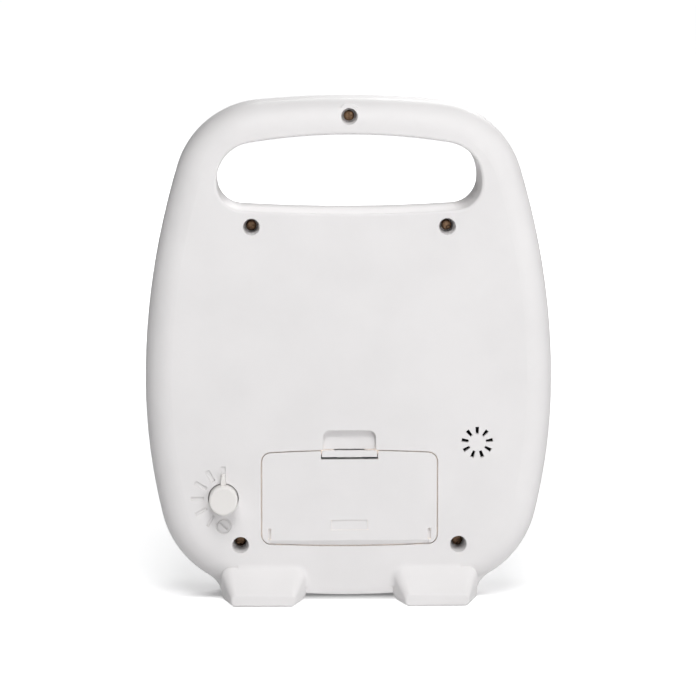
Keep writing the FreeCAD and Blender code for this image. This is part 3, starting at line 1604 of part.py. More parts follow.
def make_speaker():
    body = new_body("speaker", x=d.speaker_across, z=d.speaker_height)
    basket = speaker_front + d.magnet_share
    rim = d.speaker_radius - d.cone_rim
    cone_end = speaker_back - d.cone_depth
    profile = Draft(body, "profile", role="YZ_Plane")
    profile.polygon(
        [
            (speaker_front, 0),
            (speaker_front, d.speaker_magnet),
            (basket, d.speaker_magnet),
            (basket, d.speaker_radius),
            (speaker_back, d.speaker_radius),
            (speaker_back, rim),
            (cone_end, rim / 3),
            (cone_end + d.cone_depth / 3, 0),
        ]
    )
    profile.turn()
    gasket = new_body("speaker_gasket", x=d.speaker_across, z=d.speaker_height)
    ring = Draft(gasket, "ring", level=inner_back - d.seat_gap)
    ring.circle(0, 0, d.speaker_radius)
    ring.circle(0, 0, rim)
    slab(ring, speaker_back + d.seat_gap, inner_back - d.seat_gap)
    return body


cell_end = d.cell_length / 2
contact_face = d.tray_half - d.slide_clearance


def make_cell(label, height, toward):
    # an AA cell along X; toward is +1 where its plus end points to the volume knob's side
    body = new_body(label, y=cell_y, z=height)
    case = Draft(body, "can", role="YZ_Plane", level=-cell_end if toward > 0 else cell_end - d.cell_body)
    case.circle(0, 0, d.cell_radius).pad(d.cell_body)
    nub = Draft(body, "nub", role="YZ_Plane", level=-cell_end if toward < 0 else cell_end - d.cell_length + d.cell_body)
    nub.circle(0, 0, d.nub_radius).pad(d.cell_length - d.cell_body)
    return body


def strip(points, thick, low, high):
    # a bent strip of sheet along a run of points in X and Y, upright between two heights
    half = float(thick) / 2
    points = [(float(x), float(y)) for x, y in points]
    sides = []
    for start, end in zip(points, points[1:]):
        along, across = end[0] - start[0], end[1] - start[1]
        length = math.hypot(along, across)
        sides.append((-across / length, along / length))
    offsets = [sides[0]]
    for before, after in zip(sides, sides[1:]):
        scale = 1 + before[0] * after[0] + before[1] * after[1]
        offsets.append(((before[0] + after[0]) / scale, (before[1] + after[1]) / scale))
    offsets.append(sides[-1])
    corners = [at(x + half * u, y + half * v, low) for (x, y), (u, v) in zip(points, offsets)]
    corners += [at(x - half * u, y - half * v, low) for (x, y), (u, v) in reversed(list(zip(points, offsets)))]
    outline = Part.makePolygon(corners + corners[:1])
    return Part.Face(outline).extrude(Vector(0, 0, float(high) - float(low)))


def contact_leaf(side, height):
    # the springy tongue from a contact plate to the end of a cell, its face just off the cell
    thick = d.contact_thick
    plate = contact_face - thick / 2
    touch = cell_end + d.slide_clearance + thick / 2
    reach = d.contact_width / 2
    run = [
        (side * plate, cell_y - reach + thick),
        (side * touch, cell_y - thick * 3),
        (side * touch, cell_y + thick * 3),
        (side * (touch + plate) / 2, cell_y + reach - thick),
    ]
    return strip(run, thick, height - d.leaf_width / 2, height + d.leaf_width / 2)


def contact_plate(side, low, high):
    inner, outer = side * (contact_face - d.contact_thick), side * contact_face
    reach = d.contact_width / 2
    left, right = min(float(inner), float(outer)), max(float(inner), float(outer))
    return block(left, right, cell_y - reach, cell_y + reach, low, high)


def make_contacts():
    for label, height in (("contact_plus", upper_cell), ("contact_minus", lower_cell)):
        reach, half = d.contact_width / 2, d.tag_width / 2
        plate = contact_plate(1, height - reach, height + reach)
        tag_left = contact_face - d.contact_thick
        tag = block(tag_left, tag_end, tag_y, tag_y + d.contact_thick, height - half, height + half)
        feature(label, joined(plate, contact_leaf(1, height), tag))
    reach = d.contact_width / 2
    plate = contact_plate(-1, lower_cell - reach, upper_cell + reach)
    bridge = joined(plate, contact_leaf(-1, lower_cell), contact_leaf(-1, upper_cell))
    feature("contact_bridge", bridge)


def make_pads():
    # four soft pads pressed into the feet's recesses
    pads = []
    slack = float(d.slide_clearance)
    top = float(d.pad_proud + d.pad_sunk - d.seat_gap)
    for near, far in (front_pad, rear_pad):
        for side in (1, -1):
            middle = side * (d.foot_inner + d.foot_outer) / 2
            half = d.pad_width / 2 - slack
            pad = block(middle - half, middle + half, near + slack, far - slack, 0, top)
            corners = [edge for edge in pad.Edges if edge.BoundBox.ZLength > top - 0.01]
            pads.append(pad.makeFillet(float(d.pad_corner) - slack, corners))
    feature("foot_pads", Part.makeCompound(pads))


def wire(points):
    # a round wire along straight runs at right angles, with one bend radius at every turn
    bend = float(d.wire_bend)
    points = [at(*point) for point in points]
    edges = []
    here = points[0]
    for before, corner, after in zip(points, points[1:], points[2:]):
        back, on = (before - corner).normalize(), (after - corner).normalize()
        first, last = corner + back * bend, corner + on * bend
        middle = corner + (back + on) * bend * (1 - math.sqrt(0.5))
        edges.append(Part.LineSegment(here, first).toShape())
        edges.append(Part.Arc(first, middle, last).toShape())
        here = last
    edges.append(Part.LineSegment(here, points[-1]).toShape())
    ring = Part.Wire([Part.makeCircle(float(d.wire_radius), points[0], points[1] - points[0])])
    return Part.Wire(edges).makePipeShell([ring], True, True)


def make_wires():
    off = d.wire_radius + d.seat_gap
    lane = (d.door_top + d.wire_radius * 2, d.door_top + d.wire_radius * 2 + d.wire_pitch)
    board_x = d.board_left + 3
    tags = []
    for height in (upper_cell, lower_cell):
        y = tag_y + d.contact_thick / 2
        route = [(tag_end + d.seat_gap, y, height), (board_x, y, height), (board_x, board_front - d.seat_gap, height)]
        tags.append(wire(route))
    feature("battery_wires", Part.makeCompound(tags))
    speaker_leads, movement_leads = [], []
    behind = (board_back + speaker_front) / 2
    for index, height in enumerate(lane):
        x = d.board_left + d.lead_start + index * d.wire_pitch
        end_x = d.speaker_across + d.speaker_magnet * 0.85
        route = [
            (x, board_back + d.seat_gap, height),
            (x, behind, height),
            (end_x, behind, height),
            (end_x, speaker_front - d.seat_gap, height),
        ]
        speaker_leads.append(wire(route))
        up_x = d.movement_board_left + d.lead_inset + index * d.wire_pitch
        ahead = movement_board_front - off
        route = [
            (x, board_front - d.seat_gap, height),
            (x, ahead, height),
            (up_x, ahead, height),
            (up_x, ahead, movement_board_low + 3),
        ]
        movement_leads.append(wire(route))
    feature("speaker_wires", Part.makeCompound(speaker_leads))
    feature("movement_wires", Part.makeCompound(movement_leads))


make_front_case()
make_back_cover()
make_lens()
make_face()
make_disk()
make_knob()
make_spindle()
make_movement_plate()
make_movement_case()
make_movement_cover()
make_train()
make_stator()
make_coil()
make_movement_board()
make_screws()
make_sound_board()
make_volume_control()
make_volume_knob()
make_speaker()
make_cell("battery_upper", upper_cell, 1)
make_cell("battery_lower", lower_cell, -1)
make_contacts()
make_door()
make_latch()
make_pads()
make_wires()
doc.recompute()

NODES = (
    "front_case",
    "back_cover",
    "lens",
    "dial_face",
    "red_disk",
    "setting_knob",
    "spindle",
    "clutch_spring",
    "movement_plate",
    "movement_case",
    "movement_cover",
    "movement_board",
    "quartz_crystal",
    "clutch_wheel",
    "middle_wheel",
    "first_wheel",
    "rotor",
    "stator",
    "coil",
    "sound_board",
    "sound_chip",
    "volume_control",
    "volume_shaft",
    "volume_knob",
    "speaker",
    "speaker_gasket",
    "battery_upper",
    "battery_lower",
    "contact_plus",
    "contact_minus",
    "contact_bridge",
    "battery_door",
    "door_latch",
    "foot_pads",
    "case_screws",
    "chassis_screws",
    "movement_screws",
    "board_screws",
    "battery_wires",
    "speaker_wires",
    "movement_wires",
)

faults = [item.Label for item in doc.Objects if set(item.State) & {"Invalid", "Error"}]
for label in NODES:
    shape = doc.getObjectsByLabel(label)[0].Shape
    if shape.isNull() or not shape.isValid() or not shape.Solids:
        faults.append(label)
if faults:
    raise ValueError("these need mending: " + ", ".join(faults))

os.makedirs("parts", exist_ok=True)
for label in NODES:
    doc.getObjectsByLabel(label)[0].Shape.exportStep("parts/%s.step" % label)
print("wrote", len(NODES), "parts")
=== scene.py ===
import json
import math

import bmesh
import bpy
from mathutils import Euler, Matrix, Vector


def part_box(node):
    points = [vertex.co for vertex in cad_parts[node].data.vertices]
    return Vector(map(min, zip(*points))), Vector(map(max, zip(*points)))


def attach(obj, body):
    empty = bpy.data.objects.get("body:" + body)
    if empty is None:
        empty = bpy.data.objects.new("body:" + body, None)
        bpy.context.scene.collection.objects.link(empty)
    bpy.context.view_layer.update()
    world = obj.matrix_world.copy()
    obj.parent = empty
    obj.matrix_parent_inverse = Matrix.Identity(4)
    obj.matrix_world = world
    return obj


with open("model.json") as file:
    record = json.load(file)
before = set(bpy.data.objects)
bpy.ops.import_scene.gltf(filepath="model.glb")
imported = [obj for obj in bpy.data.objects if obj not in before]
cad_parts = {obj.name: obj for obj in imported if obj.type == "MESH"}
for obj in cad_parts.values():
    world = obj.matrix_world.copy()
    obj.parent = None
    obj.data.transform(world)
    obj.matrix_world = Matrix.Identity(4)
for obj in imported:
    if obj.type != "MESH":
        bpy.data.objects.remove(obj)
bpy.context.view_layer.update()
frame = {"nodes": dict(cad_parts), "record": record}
nodes = frame["nodes"]
mm = 0.001
black = (0, 0, 0)
white = (1, 1, 1)
print("frame loaded:", len(nodes), "nodes")

# shader helpers


class Sock:
    # one output of a node tree, so that shader maths can be written as plain sums

    def __init__(self, look, output):
        self.look = look
        self.output = output

    def math(self, operation, first, second=0.0):
        return self.look.node("Math", {"operation": operation}, [first, second])

    def __add__(self, other):
        return self.math("ADD", self, other)

    def __radd__(self, other):
        return self.math("ADD", other, self)

    def __sub__(self, other):
        return self.math("SUBTRACT", self, other)

    def __rsub__(self, other):
        return self.math("SUBTRACT", other, self)

    def __mul__(self, other):
        return self.math("MULTIPLY", self, other)

    def __rmul__(self, other):
        return self.math("MULTIPLY", other, self)

    def __abs__(self):
        return self.math("ABSOLUTE", self)

    def between(self, low, high):
        # 0 at low, 1 at high, clamped
        sockets = {"Value": self, "From Min": low, "From Max": high}
        return self.look.node("MapRange", {"clamp": True}, sockets)


class Nodes:
    # a node tree, grown one node at a time

    def __init__(self, tree):
        self.tree = tree

    def set(self, socket, value):
        if isinstance(value, Sock):
            self.tree.links.new(value.output, socket)
        elif socket.type == "RGBA" and len(value) == 3:
            socket.default_value = (*value, 1.0)
        else:
            socket.default_value = value

    def node(self, kind, settings=None, sockets=(), out=0):
        made = self.tree.nodes.new("ShaderNode" + kind)
        for name, value in (settings or {}).items():
            setattr(made, name, value)
        pairs = sockets.items() if isinstance(sockets, dict) else enumerate(sockets)
        for key, value in pairs:
            self.set(made.inputs[key], value)
        return Sock(self, made.outputs[out])

    def most(self, first, second):
        return self.node("Math", {"operation": "MAXIMUM"}, [first, second])

    def seen(self, mirrored):
        # 1 for rays from the camera and through clear pieces, less for mirrored ones
        rays = self.node("LightPath").output.node.outputs
        direct = Sock(self, rays["Is Camera Ray"])
        through = self.most(direct, Sock(self, rays["Is Transmission Ray"]))
        return self.most(through, Sock(self, rays["Is Glossy Ray"]) * mirrored)

    def place(self):
        # where a point lies in the timer's own frame, in metres
        return Sock(self, self.node("TexCoord").output.node.outputs["Object"])

    def sides(self):
        # how far along X, Y and Z a point lies
        split = self.node("SeparateXYZ", {}, [self.place()]).output.node
        return [Sock(self, output) for output in split.outputs]

    def noise(self, size, detail=2.0, rough=0.5, stretch=None):
        # grain whose spots are about size across, in metres
        where = self.place()
        if stretch:
            where = self.node("VectorMath", {"operation": "MULTIPLY"}, [where, stretch])
        sockets = {"Vector": where, "Scale": 1.0 / size, "Detail": detail, "Roughness": rough}
        return self.node("TexNoise", {}, sockets)

    def mix(self, factor, first, second):
        # a blend of two colours, whose sockets are the Mix node's seventh and eighth
        return self.node("Mix", {"data_type": "RGBA"}, {0: factor, 6: first, 7: second}, out=2)

    def bump(self, height, depth, under=None):
        sockets = {"Height": height, "Distance": depth, "Strength": 1.0}
        if under:
            sockets["Normal"] = under
        return self.node("Bump", {}, sockets)

    def crevice(self, reach):
        # 1 deep in a joint or corner, 0 in the open
        return 1 - self.node("AmbientOcclusion", {"samples": 6}, {"Distance": reach}, out=1)


class Look(Nodes):
    # a material with one principled shader, and the few nodes that feed it

    def __init__(self, name, fixed=None):
        self.material = bpy.data.materials.new(name)
        self.material.use_nodes = True
        super().__init__(self.material.node_tree)
        self.shader = self.tree.nodes["Principled BSDF"]
        self.feed(fixed or {})

    def feed(self, sockets):
        for name, value in sockets.items():
            self.set(self.shader.inputs[name], value)
        return self.material

    def show(self, shader):
        outlet = self.tree.nodes["Material Output"]
        self.tree.links.new(shader.output, outlet.inputs["Surface"])


# moulded plastics, rubber and print

mouldings = {
    # colour, its painted shade in the narrowest joints, roughness, grain size and depth in metres
    "case_plastic": {
        "color": (0.79, 0.775, 0.775), "joint": (0.66, 0.64, 0.62), "rough": 0.50,
        "grain": 0.00035, "depth": 0.000012,
    },
    # the same plastic round the battery door, with a painted warm glow in its narrow joints that
    # stands in for light soaking through the plastic
    "back_plastic": {
        "color": (0.79, 0.775, 0.775), "joint": (0.74, 0.60, 0.48), "rough": 0.50,
        "grain": 0.00035, "depth": 0.000012, "paintedGlow": 4.0,
    },
    "knob_white": {
        "color": (0.80, 0.78, 0.76), "joint": (0.62, 0.46, 0.34), "rough": 0.40,
        "grain": 0.0005, "depth": 0.000006,
    },
    "dark_plastic": {
        "color": (0.018, 0.018, 0.020), "joint": (0.006, 0.006, 0.006), "rough": 0.45,
        "grain": 0.0004, "depth": 0.00002,
    },
    "carrier_plastic": {
        "color": (0.58, 0.58, 0.56), "joint": (0.36, 0.34, 0.32), "rough": 0.5,
        "grain": 0.0005, "depth": 0.00002,
    },
    "gear_plastic": {
        "color": (0.78, 0.75, 0.62), "joint": (0.52, 0.46, 0.34), "rough": 0.38,
        "grain": 0.0006, "depth": 0.000008,
    },
    "chip_black": {
        "color": (0.012, 0.012, 0.012), "joint": (0.005, 0.005, 0.005), "rough": 0.6,
        "grain": 0.0002, "depth": 0.00001,
    },
    "face_white": {
        "color": (0.86, 0.86, 0.85), "joint": (0.66, 0.64, 0.62), "rough": 0.62,
        "grain": 0.00025, "depth": 0.000008,
    },
    "disk_red": {
        "color": (0.60, 0.012, 0.020), "joint": (0.30, 0.004, 0.008), "rough": 0.5,
        "grain": 0.0003, "depth": 0.000008,
    },
    "pad_rubber": {
        "color": (0.24, 0.24, 0.235), "joint": (0.12, 0.12, 0.12), "rough": 0.8,
        "grain": 0.0004, "depth": 0.00004,
    },
    "foam": {
        "color": (0.02, 0.02, 0.02), "joint": (0.008, 0.008, 0.008), "rough": 0.95,
        "grain": 0.0005, "depth": 0.0002,
    },
    "wire_red": {
        "color": (0.42, 0.010, 0.008), "joint": (0.2, 0.004, 0.004), "rough": 0.45,
        "grain": 0.0006, "depth": 0.00001,
    },
}

moulded = {
    "shine": 0.2,
    # faint clouds in the colour, as a share of it
    "cloudSize": 20 * mm,
    "cloudDetail": 3.0,
    "cloudSpread": (0.35, 0.7),
    "cloudShade": 0.965,
    # pores of the mould
    "poreDetail": 2.0,
    "poreRough": 0.6,
    # patches rubbed smoother by hands
    "rubSize": 6 * mm,
    "rubDetail": 4.0,
    "rubRough": 0.65,
    "rubSpread": (0.3, 0.75),
    "rubRange": 0.10,
    # no moulded edge is perfectly sharp
    "softEdge": 0.3 * mm,
    # only joints narrower than this take the painted joint shade
    "gapReach": 0.42 * mm,
    "gapSpread": (0.5, 1.0),
}

doorJoint = {
    # stretches of the back, as half width, low end and high end: where the joints get the painted
    # glow, and the joint under the latch, which opens into the dark case and gets a painted dark
    # brown shade instead of the glow
    "glowing": (31.5 * mm, 18.5 * mm, 54.5 * mm),
    "dark": (9.7 * mm, 45.0 * mm, 51.7 * mm),
    # painted shade of the joint under the latch
    "latchShadeColor": (0.45, 0.26, 0.19),
    "fade": 0.2 * mm,
}


def stretch(look, half, low, high):
    # 1 inside a stretch of the back, 0 outside it
    fade = doorJoint["fade"]
    across, along, up = look.sides()
    beside = abs(across).between(half, half + fade)
    above = up.between(high, high + fade)
    return (1 - beside) * up.between(low - fade, low) * (1 - above)


def mouldedLook(name, color, joint, rough, grain, depth, paintedGlow=0.0):
    # the last argument: strength of the painted glow in narrow joints, which stands in for light
    # soaking through the plastic
    look = Look(name, {"Specular IOR Level": moulded["shine"], "Emission Strength": paintedGlow})
    cloud = look.noise(moulded["cloudSize"], moulded["cloudDetail"])
    shade = tuple(moulded["cloudShade"] * part for part in color)
    base = look.mix(cloud.between(*moulded["cloudSpread"]), color, shade)
    # painted shade: the narrowest joints, found by ambient occlusion, take the joint colour
    narrow = look.crevice(moulded["gapReach"]).between(*moulded["gapSpread"])
    # painted glow: narrow joints round the door emit the joint colour, except under the latch
    if paintedGlow:
        dark = stretch(look, *doorJoint["dark"])
        joint = look.mix(dark, joint, doorJoint["latchShadeColor"])
        glowing = narrow * stretch(look, *doorJoint["glowing"]) * (1 - dark)
        look.feed({"Emission Color": look.mix(glowing, black, joint)})
    rub = look.noise(moulded["rubSize"], moulded["rubDetail"], moulded["rubRough"])
    rubbed = rub.between(*moulded["rubSpread"]) * moulded["rubRange"]
    pores = look.noise(grain, moulded["poreDetail"], moulded["poreRough"])
    soft = look.node("Bevel", {"samples": 4}, {"Radius": moulded["softEdge"]})
    return look.feed({
        "Base Color": look.mix(narrow, base, joint),
        "Roughness": rubbed + (rough - moulded["rubRange"] / 2),
        "Normal": look.bump(pores, depth, soft),
    })


# metals

metals = {
    # colour, colour of its tarnish, roughness, how far its lines are drawn out along X, Y and Z
    "steel": {
        "color": (0.60, 0.60, 0.62), "dull": (0.42, 0.41, 0.40), "rough": 0.26,
        "drawn": (1, 0.1, 1),
    },
    "spring_steel": {
        "color": (0.50, 0.50, 0.53), "dull": (0.30, 0.29, 0.30), "rough": 0.3,
        "drawn": (1, 0.1, 1),
    },
    "rotor_magnet": {
        "color": (0.16, 0.16, 0.17), "dull": (0.09, 0.09, 0.09), "rough": 0.5,
        "drawn": (1, 0.2, 1),
    },
    "stator_iron": {
        "color": (0.42, 0.42, 0.43), "dull": (0.26, 0.25, 0.24), "rough": 0.42,
        "drawn": (1, 1, 0.15),
    },
    "nickel": {
        "color": (0.68, 0.65, 0.60), "dull": (0.52, 0.48, 0.42), "rough": 0.2,
        "drawn": (1, 1, 0.1),
    },
    "control_metal": {
        "color": (0.58, 0.58, 0.58), "dull": (0.44, 0.44, 0.43), "rough": 0.36,
        "drawn": (0.1, 1, 1),
    },
    "bronze_screw": {
        "color": (0.22, 0.14, 0.085), "dull": (0.09, 0.052, 0.032), "rough": 0.36,
        "drawn": (1, 1, 1),
    },
    "zinc_screw": {
        "color": (0.56, 0.56, 0.54), "dull": (0.36, 0.36, 0.34), "rough": 0.34,
        "drawn": (1, 1, 1),
    },
}

worked = {
    # fine lines left by the tool
    "lineSize": 0.25 * mm,
    "lineDetail": 3.0,
    "lineDepth": 0.012 * mm,
    # tarnish in spots, and in the corners
    "stainSize": 1.6 * mm,
    "stainDetail": 4.0,
    "stainSpread": (0.42, 0.72),
    "cornerReach": 0.5 * mm,
    "cornerSpread": (0.4, 1.0),
    # how rough both noises are, and how much rougher the tarnish is
    "noiseRough": 0.6,
    "dullSpread": (0.3, 0.8),
    "dullRange": 0.16,
    "dullStart": 0.06,
}


def metalLook(name, color, dull, rough, drawn):
    look = Look(name, {"Metallic": 1.0})
    lines = look.noise(worked["lineSize"], worked["lineDetail"], worked["noiseRough"], drawn)
    stains = look.noise(worked["stainSize"], worked["stainDetail"], worked["noiseRough"])
    corner = look.crevice(worked["cornerReach"]).between(*worked["cornerSpread"])
    base = look.mix(stains.between(*worked["stainSpread"]), color, dull)
    duller = stains.between(*worked["dullSpread"]) * worked["dullRange"]
    return look.feed({
        "Base Color": look.mix(corner, base, dull),
        "Roughness": duller + (rough - worked["dullStart"]),
        "Normal": look.bump(lines, worked["lineDepth"]),
    })


winding = {
    "wavesPerMetre": 700.0,
    "uneven": 1.2,
    "detail": 2.0,
    # painted shade: the hollows between turns are darker than the crowns
    "hollow": (0.30, 0.10, 0.04),
    "crown": (0.72, 0.32, 0.14),
    "rough": 0.4,
    "crownSmoother": 0.1,
    "depth": 0.05 * mm,
}


def copperLook():
    # enamelled wire laid in fine turns round the core
    look = Look("copper_winding", {"Metallic": 1.0})
    turns = look.node(
        "TexWave",
        {"wave_type": "BANDS", "bands_direction": "Z"},
        {
            "Vector": look.place(),
            "Scale": winding["wavesPerMetre"],
            "Distortion": winding["uneven"],
            "Detail": winding["detail"],
        },
        out=1,
    )
    return look.feed({
        "Base Color": look.mix(turns, winding["hollow"], winding["crown"]),
        "Roughness": winding["rough"] - turns * winding["crownSmoother"],
        "Normal": look.bump(turns, winding["depth"]),
    })


board = {
    "landsPerMetre": 420.0,
    "uneven": 0.7,
    "landEdge": (0.32, 0.38),
    "land": (0.02, 0.16, 0.07),
    "mask": (0.012, 0.085, 0.04),
    "rough": 0.28,
    "maskRougher": 0.12,
    "depth": 0.02 * mm,
}


def boardLook():
    # solder mask over copper lands, with the lands a shade lighter
    look = Look("board_green")
    cells = look.node(
        "TexVoronoi",
        {"distance": "CHEBYCHEV", "feature": "F1"},
        {
            "Vector": look.place(),
            "Scale": board["landsPerMetre"],
            "Randomness": board["uneven"],
        },
    )
    between = cells.between(*board["landEdge"])
    return look.feed({
        "Base Color": look.mix(between, board["land"], board["mask"]),
        "Roughness": between * board["maskRougher"] + board["rough"],
        "Normal": look.bump(between, board["depth"]),
    })


sleeve = {
    # where its parts start and end, as shares of the cell's length
    "minusEnd": (0.03, 0.035),
    "band": (0.70, 0.705),
    "plusEnd": (0.955, 0.96),
    "color": (0.045, 0.10, 0.13),
    "bandColor": (0.50, 0.50, 0.48),
    "canColor": (0.62, 0.61, 0.58),
    "canMetal": 0.6,
    "bandMetal": 0.35,
    "rough": 0.3,
    # scuffs run along the cell
    "scuffSize": 1.2 * mm,
    "scuffDetail": 5.0,
    "scuffRough": 0.7,
    "scuffDrawn": (0.2, 1, 1),
    "scuffSpread": (0.62, 0.8),
    "scuffColor": (0.30, 0.30, 0.30),
    "scuffShare": 0.35,
    "scuffRougher": 0.2,
}


def cellLook(low, high):
    # printed sleeve with bare can ends and a paler band towards the plus end
    look = Look("cell_wrap")
    along = look.sides()[0].between(low.x, high.x)
    inner = along.between(*sleeve["minusEnd"]) * (1 - along.between(*sleeve["plusEnd"]))
    ends = 1 - inner
    band = along.between(*sleeve["band"])
    scuffs = look.noise(
        sleeve["scuffSize"], sleeve["scuffDetail"], sleeve["scuffRough"], sleeve["scuffDrawn"]
    ).between(*sleeve["scuffSpread"])
    base = look.mix(band, sleeve["color"], sleeve["bandColor"])
    base = look.mix(scuffs * sleeve["scuffShare"], base, sleeve["scuffColor"])
    return look.feed({
        "Base Color": look.mix(ends, base, sleeve["canColor"]),
        "Metallic": ends * sleeve["canMetal"] + band * sleeve["bandMetal"],
        "Roughness": scuffs * sleeve["scuffRougher"] + sleeve["rough"],
    })


window = {
    "smearSize": 12 * mm,
    "smearDetail": 5.0,
    "smearRough": 0.7,
    "smearSpread": (0.5, 0.9),
    "smearShare": 0.4,
    "color": (0.95, 0.97, 0.98),
    "smearColor": (0.86, 0.88, 0.89),
    "tint": (0.97, 0.985, 0.985),
    "rough": 0.03,
    "index": 1.49,
    # how much of the surface's own sheen shows, and how much the smears add to it
    "sheenIndex": 1.45,
    "sheen": 0.85,
    "hazeSpread": (0.45, 0.95),
    "haze": 0.03,
}


def lensLook():
    # clear polished sheet: seen through, with a sheen that grows towards grazing angles
    look = Look("lens_clear", {"Roughness": window["rough"], "IOR": window["index"]})
    smears = look.noise(window["smearSize"], window["smearDetail"], window["smearRough"])
    smeared = smears.between(*window["smearSpread"]) * window["smearShare"]
    look.feed({"Base Color": look.mix(smeared, window["color"], window["smearColor"])})
    clear = look.node("BsdfTransparent", {}, {"Color": window["tint"]})
    haze = smears.between(*window["hazeSpread"]) * window["haze"]
    sheen = look.node("Fresnel", {}, {"IOR": window["sheenIndex"]}) * window["sheen"] + haze
    look.show(look.node("MixShader", {}, [sheen, clear, Sock(look, look.shader.outputs[0])]))
    return look.material


looks = {name: mouldedLook(name, **values) for name, values in mouldings.items()}
looks.update({name: metalLook(name, **values) for name, values in metals.items()})
looks["copper_winding"] = copperLook()
looks["board_green"] = boardLook()
looks["cell_wrap"] = cellLook(*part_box("battery_upper"))
looks["lens_clear"] = lensLook()
print("finishes made:", len(looks))

# every frame node takes the finish of its slot in the record, or one of its own
slotOf = {part["node"]: part["material_slot"] for part in frame["record"]["subparts"]}
# the back cover, the door and its latch take the plastic with the painted glow in its joints
ownLook = {name: "back_plastic" for name in ("back_cover", "battery_door", "door_latch")}
for name, node in nodes.items():
    node.data.materials.clear()
    node.data.materials.append(looks[ownLook.get(name, slotOf[name])])
print("frame nodes dressed")

# dial print

dial = {
    "numeralRadius": 47.4 * mm,
    "numeralHeight": 5.6 * mm,
    "capShare": 0.7,  # height of a numeral as a share of the font's size
    "curveSteps": 6,
    "tickInner": 40.4 * mm,
    "tickOuter": 41.9 * mm,
    "fiveInner": 39.8 * mm,
    "tickWidth": 0.35 * mm,
    "fiveWidth": 0.9 * mm,
    "ink": 0.05 * mm,
    "minutes": 60,
    "step": 5,
    "weld": 0.001 * mm,
}

ink = {
    "speckSize": 0.3 * mm,
    "speckDetail": 3.0,
    "speckRough": 0.6,
    "speckSpread": (0.3, 0.8),
    "color": (0.012, 0.012, 0.013),
    "speckColor": (0.028, 0.028, 0.030),
    "rough": 0.45,
    "speckRougher": 0.15,
    "depth": 0.006 * mm,
}

faceLow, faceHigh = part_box("dial_face")
dialCentre = Vector((0, faceLow.y, (faceLow.z + faceHigh.z) / 2))


def onDial(radius, minutes):
    # minutes run counter-clockwise from the top, seen from the front
    angle = math.tau * minutes / dial["minutes"]
    return dialCentre + Vector((-radius * math.sin(angle), 0, radius * math.cos(angle)))


def inkLook():
    look = Look("print_black")
    speck = look.noise(ink["speckSize"], ink["speckDetail"], ink["speckRough"])
    shade = speck.between(*ink["speckSpread"])
    return look.feed({
        "Base Color": look.mix(shade, ink["color"], ink["speckColor"]),
        "Roughness": speck * ink["speckRougher"] + ink["rough"],
        "Normal": look.bump(speck, ink["depth"]),
    })


def dialTicks():
    made = bmesh.new()
    for minute in range(dial["minutes"]):
        main = minute % dial["step"] == 0
        inner = dial["fiveInner"] if main else dial["tickInner"]
        half = (dial["fiveWidth"] if main else dial["tickWidth"]) / 2
        along = (onDial(1, minute) - dialCentre).normalized()
        across = Vector((along.z, 0, -along.x)) * half
        lift = Vector((0, -dial["ink"], 0))
        corners = ((inner, -1), (dial["tickOuter"], -1), (dial["tickOuter"], 1), (inner, 1))
        ring = [onDial(radius, minute) + across * side for radius, side in corners]
        base = [made.verts.new(point) for point in ring]
        top = [made.verts.new(point + lift) for point in ring]
        made.faces.new(top)
        made.faces.new(base[::-1])
        for first, second in zip(range(4), (1, 2, 3, 0)):
            made.faces.new((base[first], base[second], top[second], top[first]))
    bmesh.ops.recalc_face_normals(made, faces=made.faces)
    mesh = bpy.data.meshes.new("dial_ticks")
    made.to_mesh(mesh)
    return mesh


def numeral(minutes):
    # one numeral as a mesh, lying on the face
    text = bpy.data.curves.new("numeral", "FONT")
    text.body = str(minutes)
    text.size = dial["numeralHeight"] / dial["capShare"]
    text.extrude = dial["ink"] / 2
    text.align_x = "CENTER"
    text.align_y = "CENTER"
    text.resolution_u = dial["curveSteps"]
    carrier = bpy.data.objects.new("numeral", text)
    bpy.context.scene.collection.objects.link(carrier)
    carrier.rotation_euler = Euler((math.radians(90), 0, 0))
    lift = Vector((0, dial["ink"] / 2, 0))
    carrier.location = onDial(dial["numeralRadius"], minutes) - lift
    bpy.context.view_layer.update()
    mesh = bpy.data.meshes.new_from_object(carrier)
    mesh.transform(carrier.matrix_world)
    bpy.data.objects.remove(carrier)
    bpy.data.curves.remove(text)
    return mesh


def dialNumerals():
    made = bmesh.new()
    for minutes in range(0, dial["minutes"], dial["step"]):
        mesh = numeral(minutes)
        made.from_mesh(mesh)
        bpy.data.meshes.remove(mesh)
    bmesh.ops.remove_doubles(made, verts=made.verts, dist=dial["weld"])
    mesh = bpy.data.meshes.new("dial_numerals")
    made.to_mesh(mesh)
    return mesh


def printOnFace(mesh, look):
    piece = bpy.data.objects.new(mesh.name, mesh)
    bpy.context.scene.collection.objects.link(piece)
    mesh.materials.clear()
    mesh.materials.append(look)
    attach(piece, "case")


blackPrint = inkLook()
printOnFace(dialTicks(), blackPrint)
printOnFace(dialNumerals(), blackPrint)
print("dial printed")

# camera, from the photograph

view = {
    "aim": Vector((0, -2 * mm, 88 * mm)),
    "distance": 1.277,
    # degrees from the front, above the floor, and about the line of sight
    "turn": 178.38,
    "rise": 7.2,
    "roll": -0.03,
    # focal length and shifts in pixels of the photograph
    "image": 696,
    "focal": 3698,
    "across": -0.1,
    "down": -5.4,
    "sensor": 36,
    "nearest": 0.05,
    "furthest": 50,
}


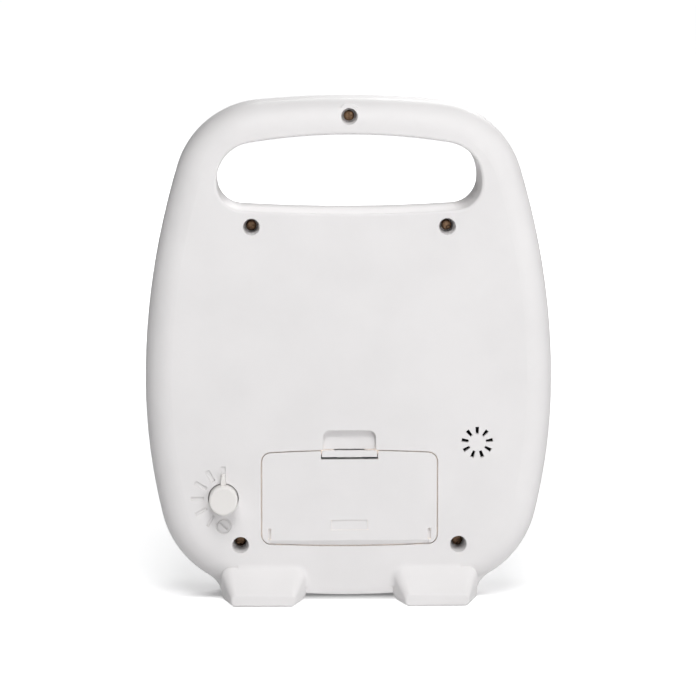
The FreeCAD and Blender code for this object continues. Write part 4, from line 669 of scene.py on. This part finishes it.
def makeCamera():
    data = bpy.data.cameras.new("camera")
    data.sensor_width = view["sensor"]
    data.lens = view["focal"] * view["sensor"] / view["image"]
    data.shift_x = view["across"] / view["image"]
    data.shift_y = view["down"] / view["image"]
    data.clip_start = view["nearest"]
    data.clip_end = view["furthest"]
    camera = bpy.data.objects.new("camera", data)
    bpy.context.scene.collection.objects.link(camera)
    turn, rise, roll = (math.radians(view[name]) for name in ("turn", "rise", "roll"))
    level = math.cos(rise)
    back = Vector((math.sin(turn) * level, -math.cos(turn) * level, math.sin(rise)))
    camera.location = view["aim"] + back * view["distance"]
    camera.rotation_mode = "QUATERNION"
    tilt = back.to_track_quat("Z", "Y")
    camera.rotation_quaternion = tilt @ Euler((0, 0, roll)).to_quaternion()
    bpy.context.scene.camera = camera


makeCamera()

# floor, world and lamps

studio = {
    "floorSize": 12.0,
    "floorCells": 8,
    "floorColor": (0.86, 0.86, 0.865),
    # the floor's own light: low under and beside the timer, full in front of its back and far off
    "lowGlow": 0.42,
    "fullGlow": 1.0,
    "near": (0.001, 0.011),
    "far": (0.35, 1.4),
    # how much of the low light is lost in the corner between timer and floor
    "dimming": 0.6,
    "dimReach": 0.025,
    "roomLight": 0.02,
    "mirrored": 0.3,
    # place, width and strength in watts
    "lamps": {
        "high": ((0.0, 1.3, 1.5), 1.0, 23.0),
        "low": ((-0.5, 1.5, 0.3), 0.6, 4.6),
        "right": ((-1.0, 1.4, 0.6), 0.8, 1.9),
        "side": ((-1.4, 0.2, 0.7), 0.8, 3.3),
        "top": ((-0.2, 0.25, 1.5), 0.9, 1.8),
        "front": ((-0.4, -1.5, 1.1), 1.0, 17.0),
    },
}


def floorLook():
    look = Look("floor")
    place = look.place()
    reach = look.node("VectorMath", {"operation": "LENGTH"}, [place], out=1)
    share = look.most(look.sides()[1].between(*studio["near"]), reach.between(*studio["far"]))
    low = studio["lowGlow"] * (1 - look.crevice(studio["dimReach"]) * studio["dimming"])
    glow = low + share * (studio["fullGlow"] - low)
    matte = look.node("BsdfDiffuse", {}, {"Color": studio["floorColor"]})
    glowing = look.node("AddShader", {}, [matte, look.node("Emission", {}, {"Color": glow})])
    look.show(look.node("MixShader", {}, [look.seen(studio["mirrored"]), matte, glowing]))
    look.tree.nodes.remove(look.shader)
    return look.material


def makeFloor():
    made = bmesh.new()
    cells = studio["floorCells"]
    bmesh.ops.create_grid(made, x_segments=cells, y_segments=cells, size=studio["floorSize"])
    mesh = bpy.data.meshes.new("floor")
    made.to_mesh(mesh)
    mesh.materials.append(floorLook())
    floor = bpy.data.objects.new("floor", mesh)
    bpy.context.scene.collection.objects.link(floor)


def makeWorld():
    world = bpy.data.worlds.new("studio")
    bpy.context.scene.world = world
    world.use_nodes = True
    sky = Nodes(world.node_tree)
    room = sky.node("Background", {}, {"Color": white, "Strength": studio["roomLight"]})
    backdrop = sky.node("Background", {}, {"Color": white})
    chosen = sky.node("MixShader", {}, [sky.seen(studio["mirrored"]), room, backdrop])
    outlet = world.node_tree.nodes["World Output"]
    world.node_tree.links.new(chosen.output, outlet.inputs["Surface"])


def makeLamp(name, place, width, watts):
    data = bpy.data.lights.new(name, "AREA")
    data.shape = "DISK"
    data.size = width
    data.energy = watts
    lamp = bpy.data.objects.new(name, data)
    bpy.context.scene.collection.objects.link(lamp)
    lamp.location = place
    lamp.rotation_mode = "QUATERNION"
    lamp.rotation_quaternion = (Vector(place) - view["aim"]).to_track_quat("Z", "Y")


makeFloor()
makeWorld()
for name, lamp in studio["lamps"].items():
    makeLamp(name, *lamp)
bpy.context.scene.view_settings.view_transform = "Standard"
print("stage set")
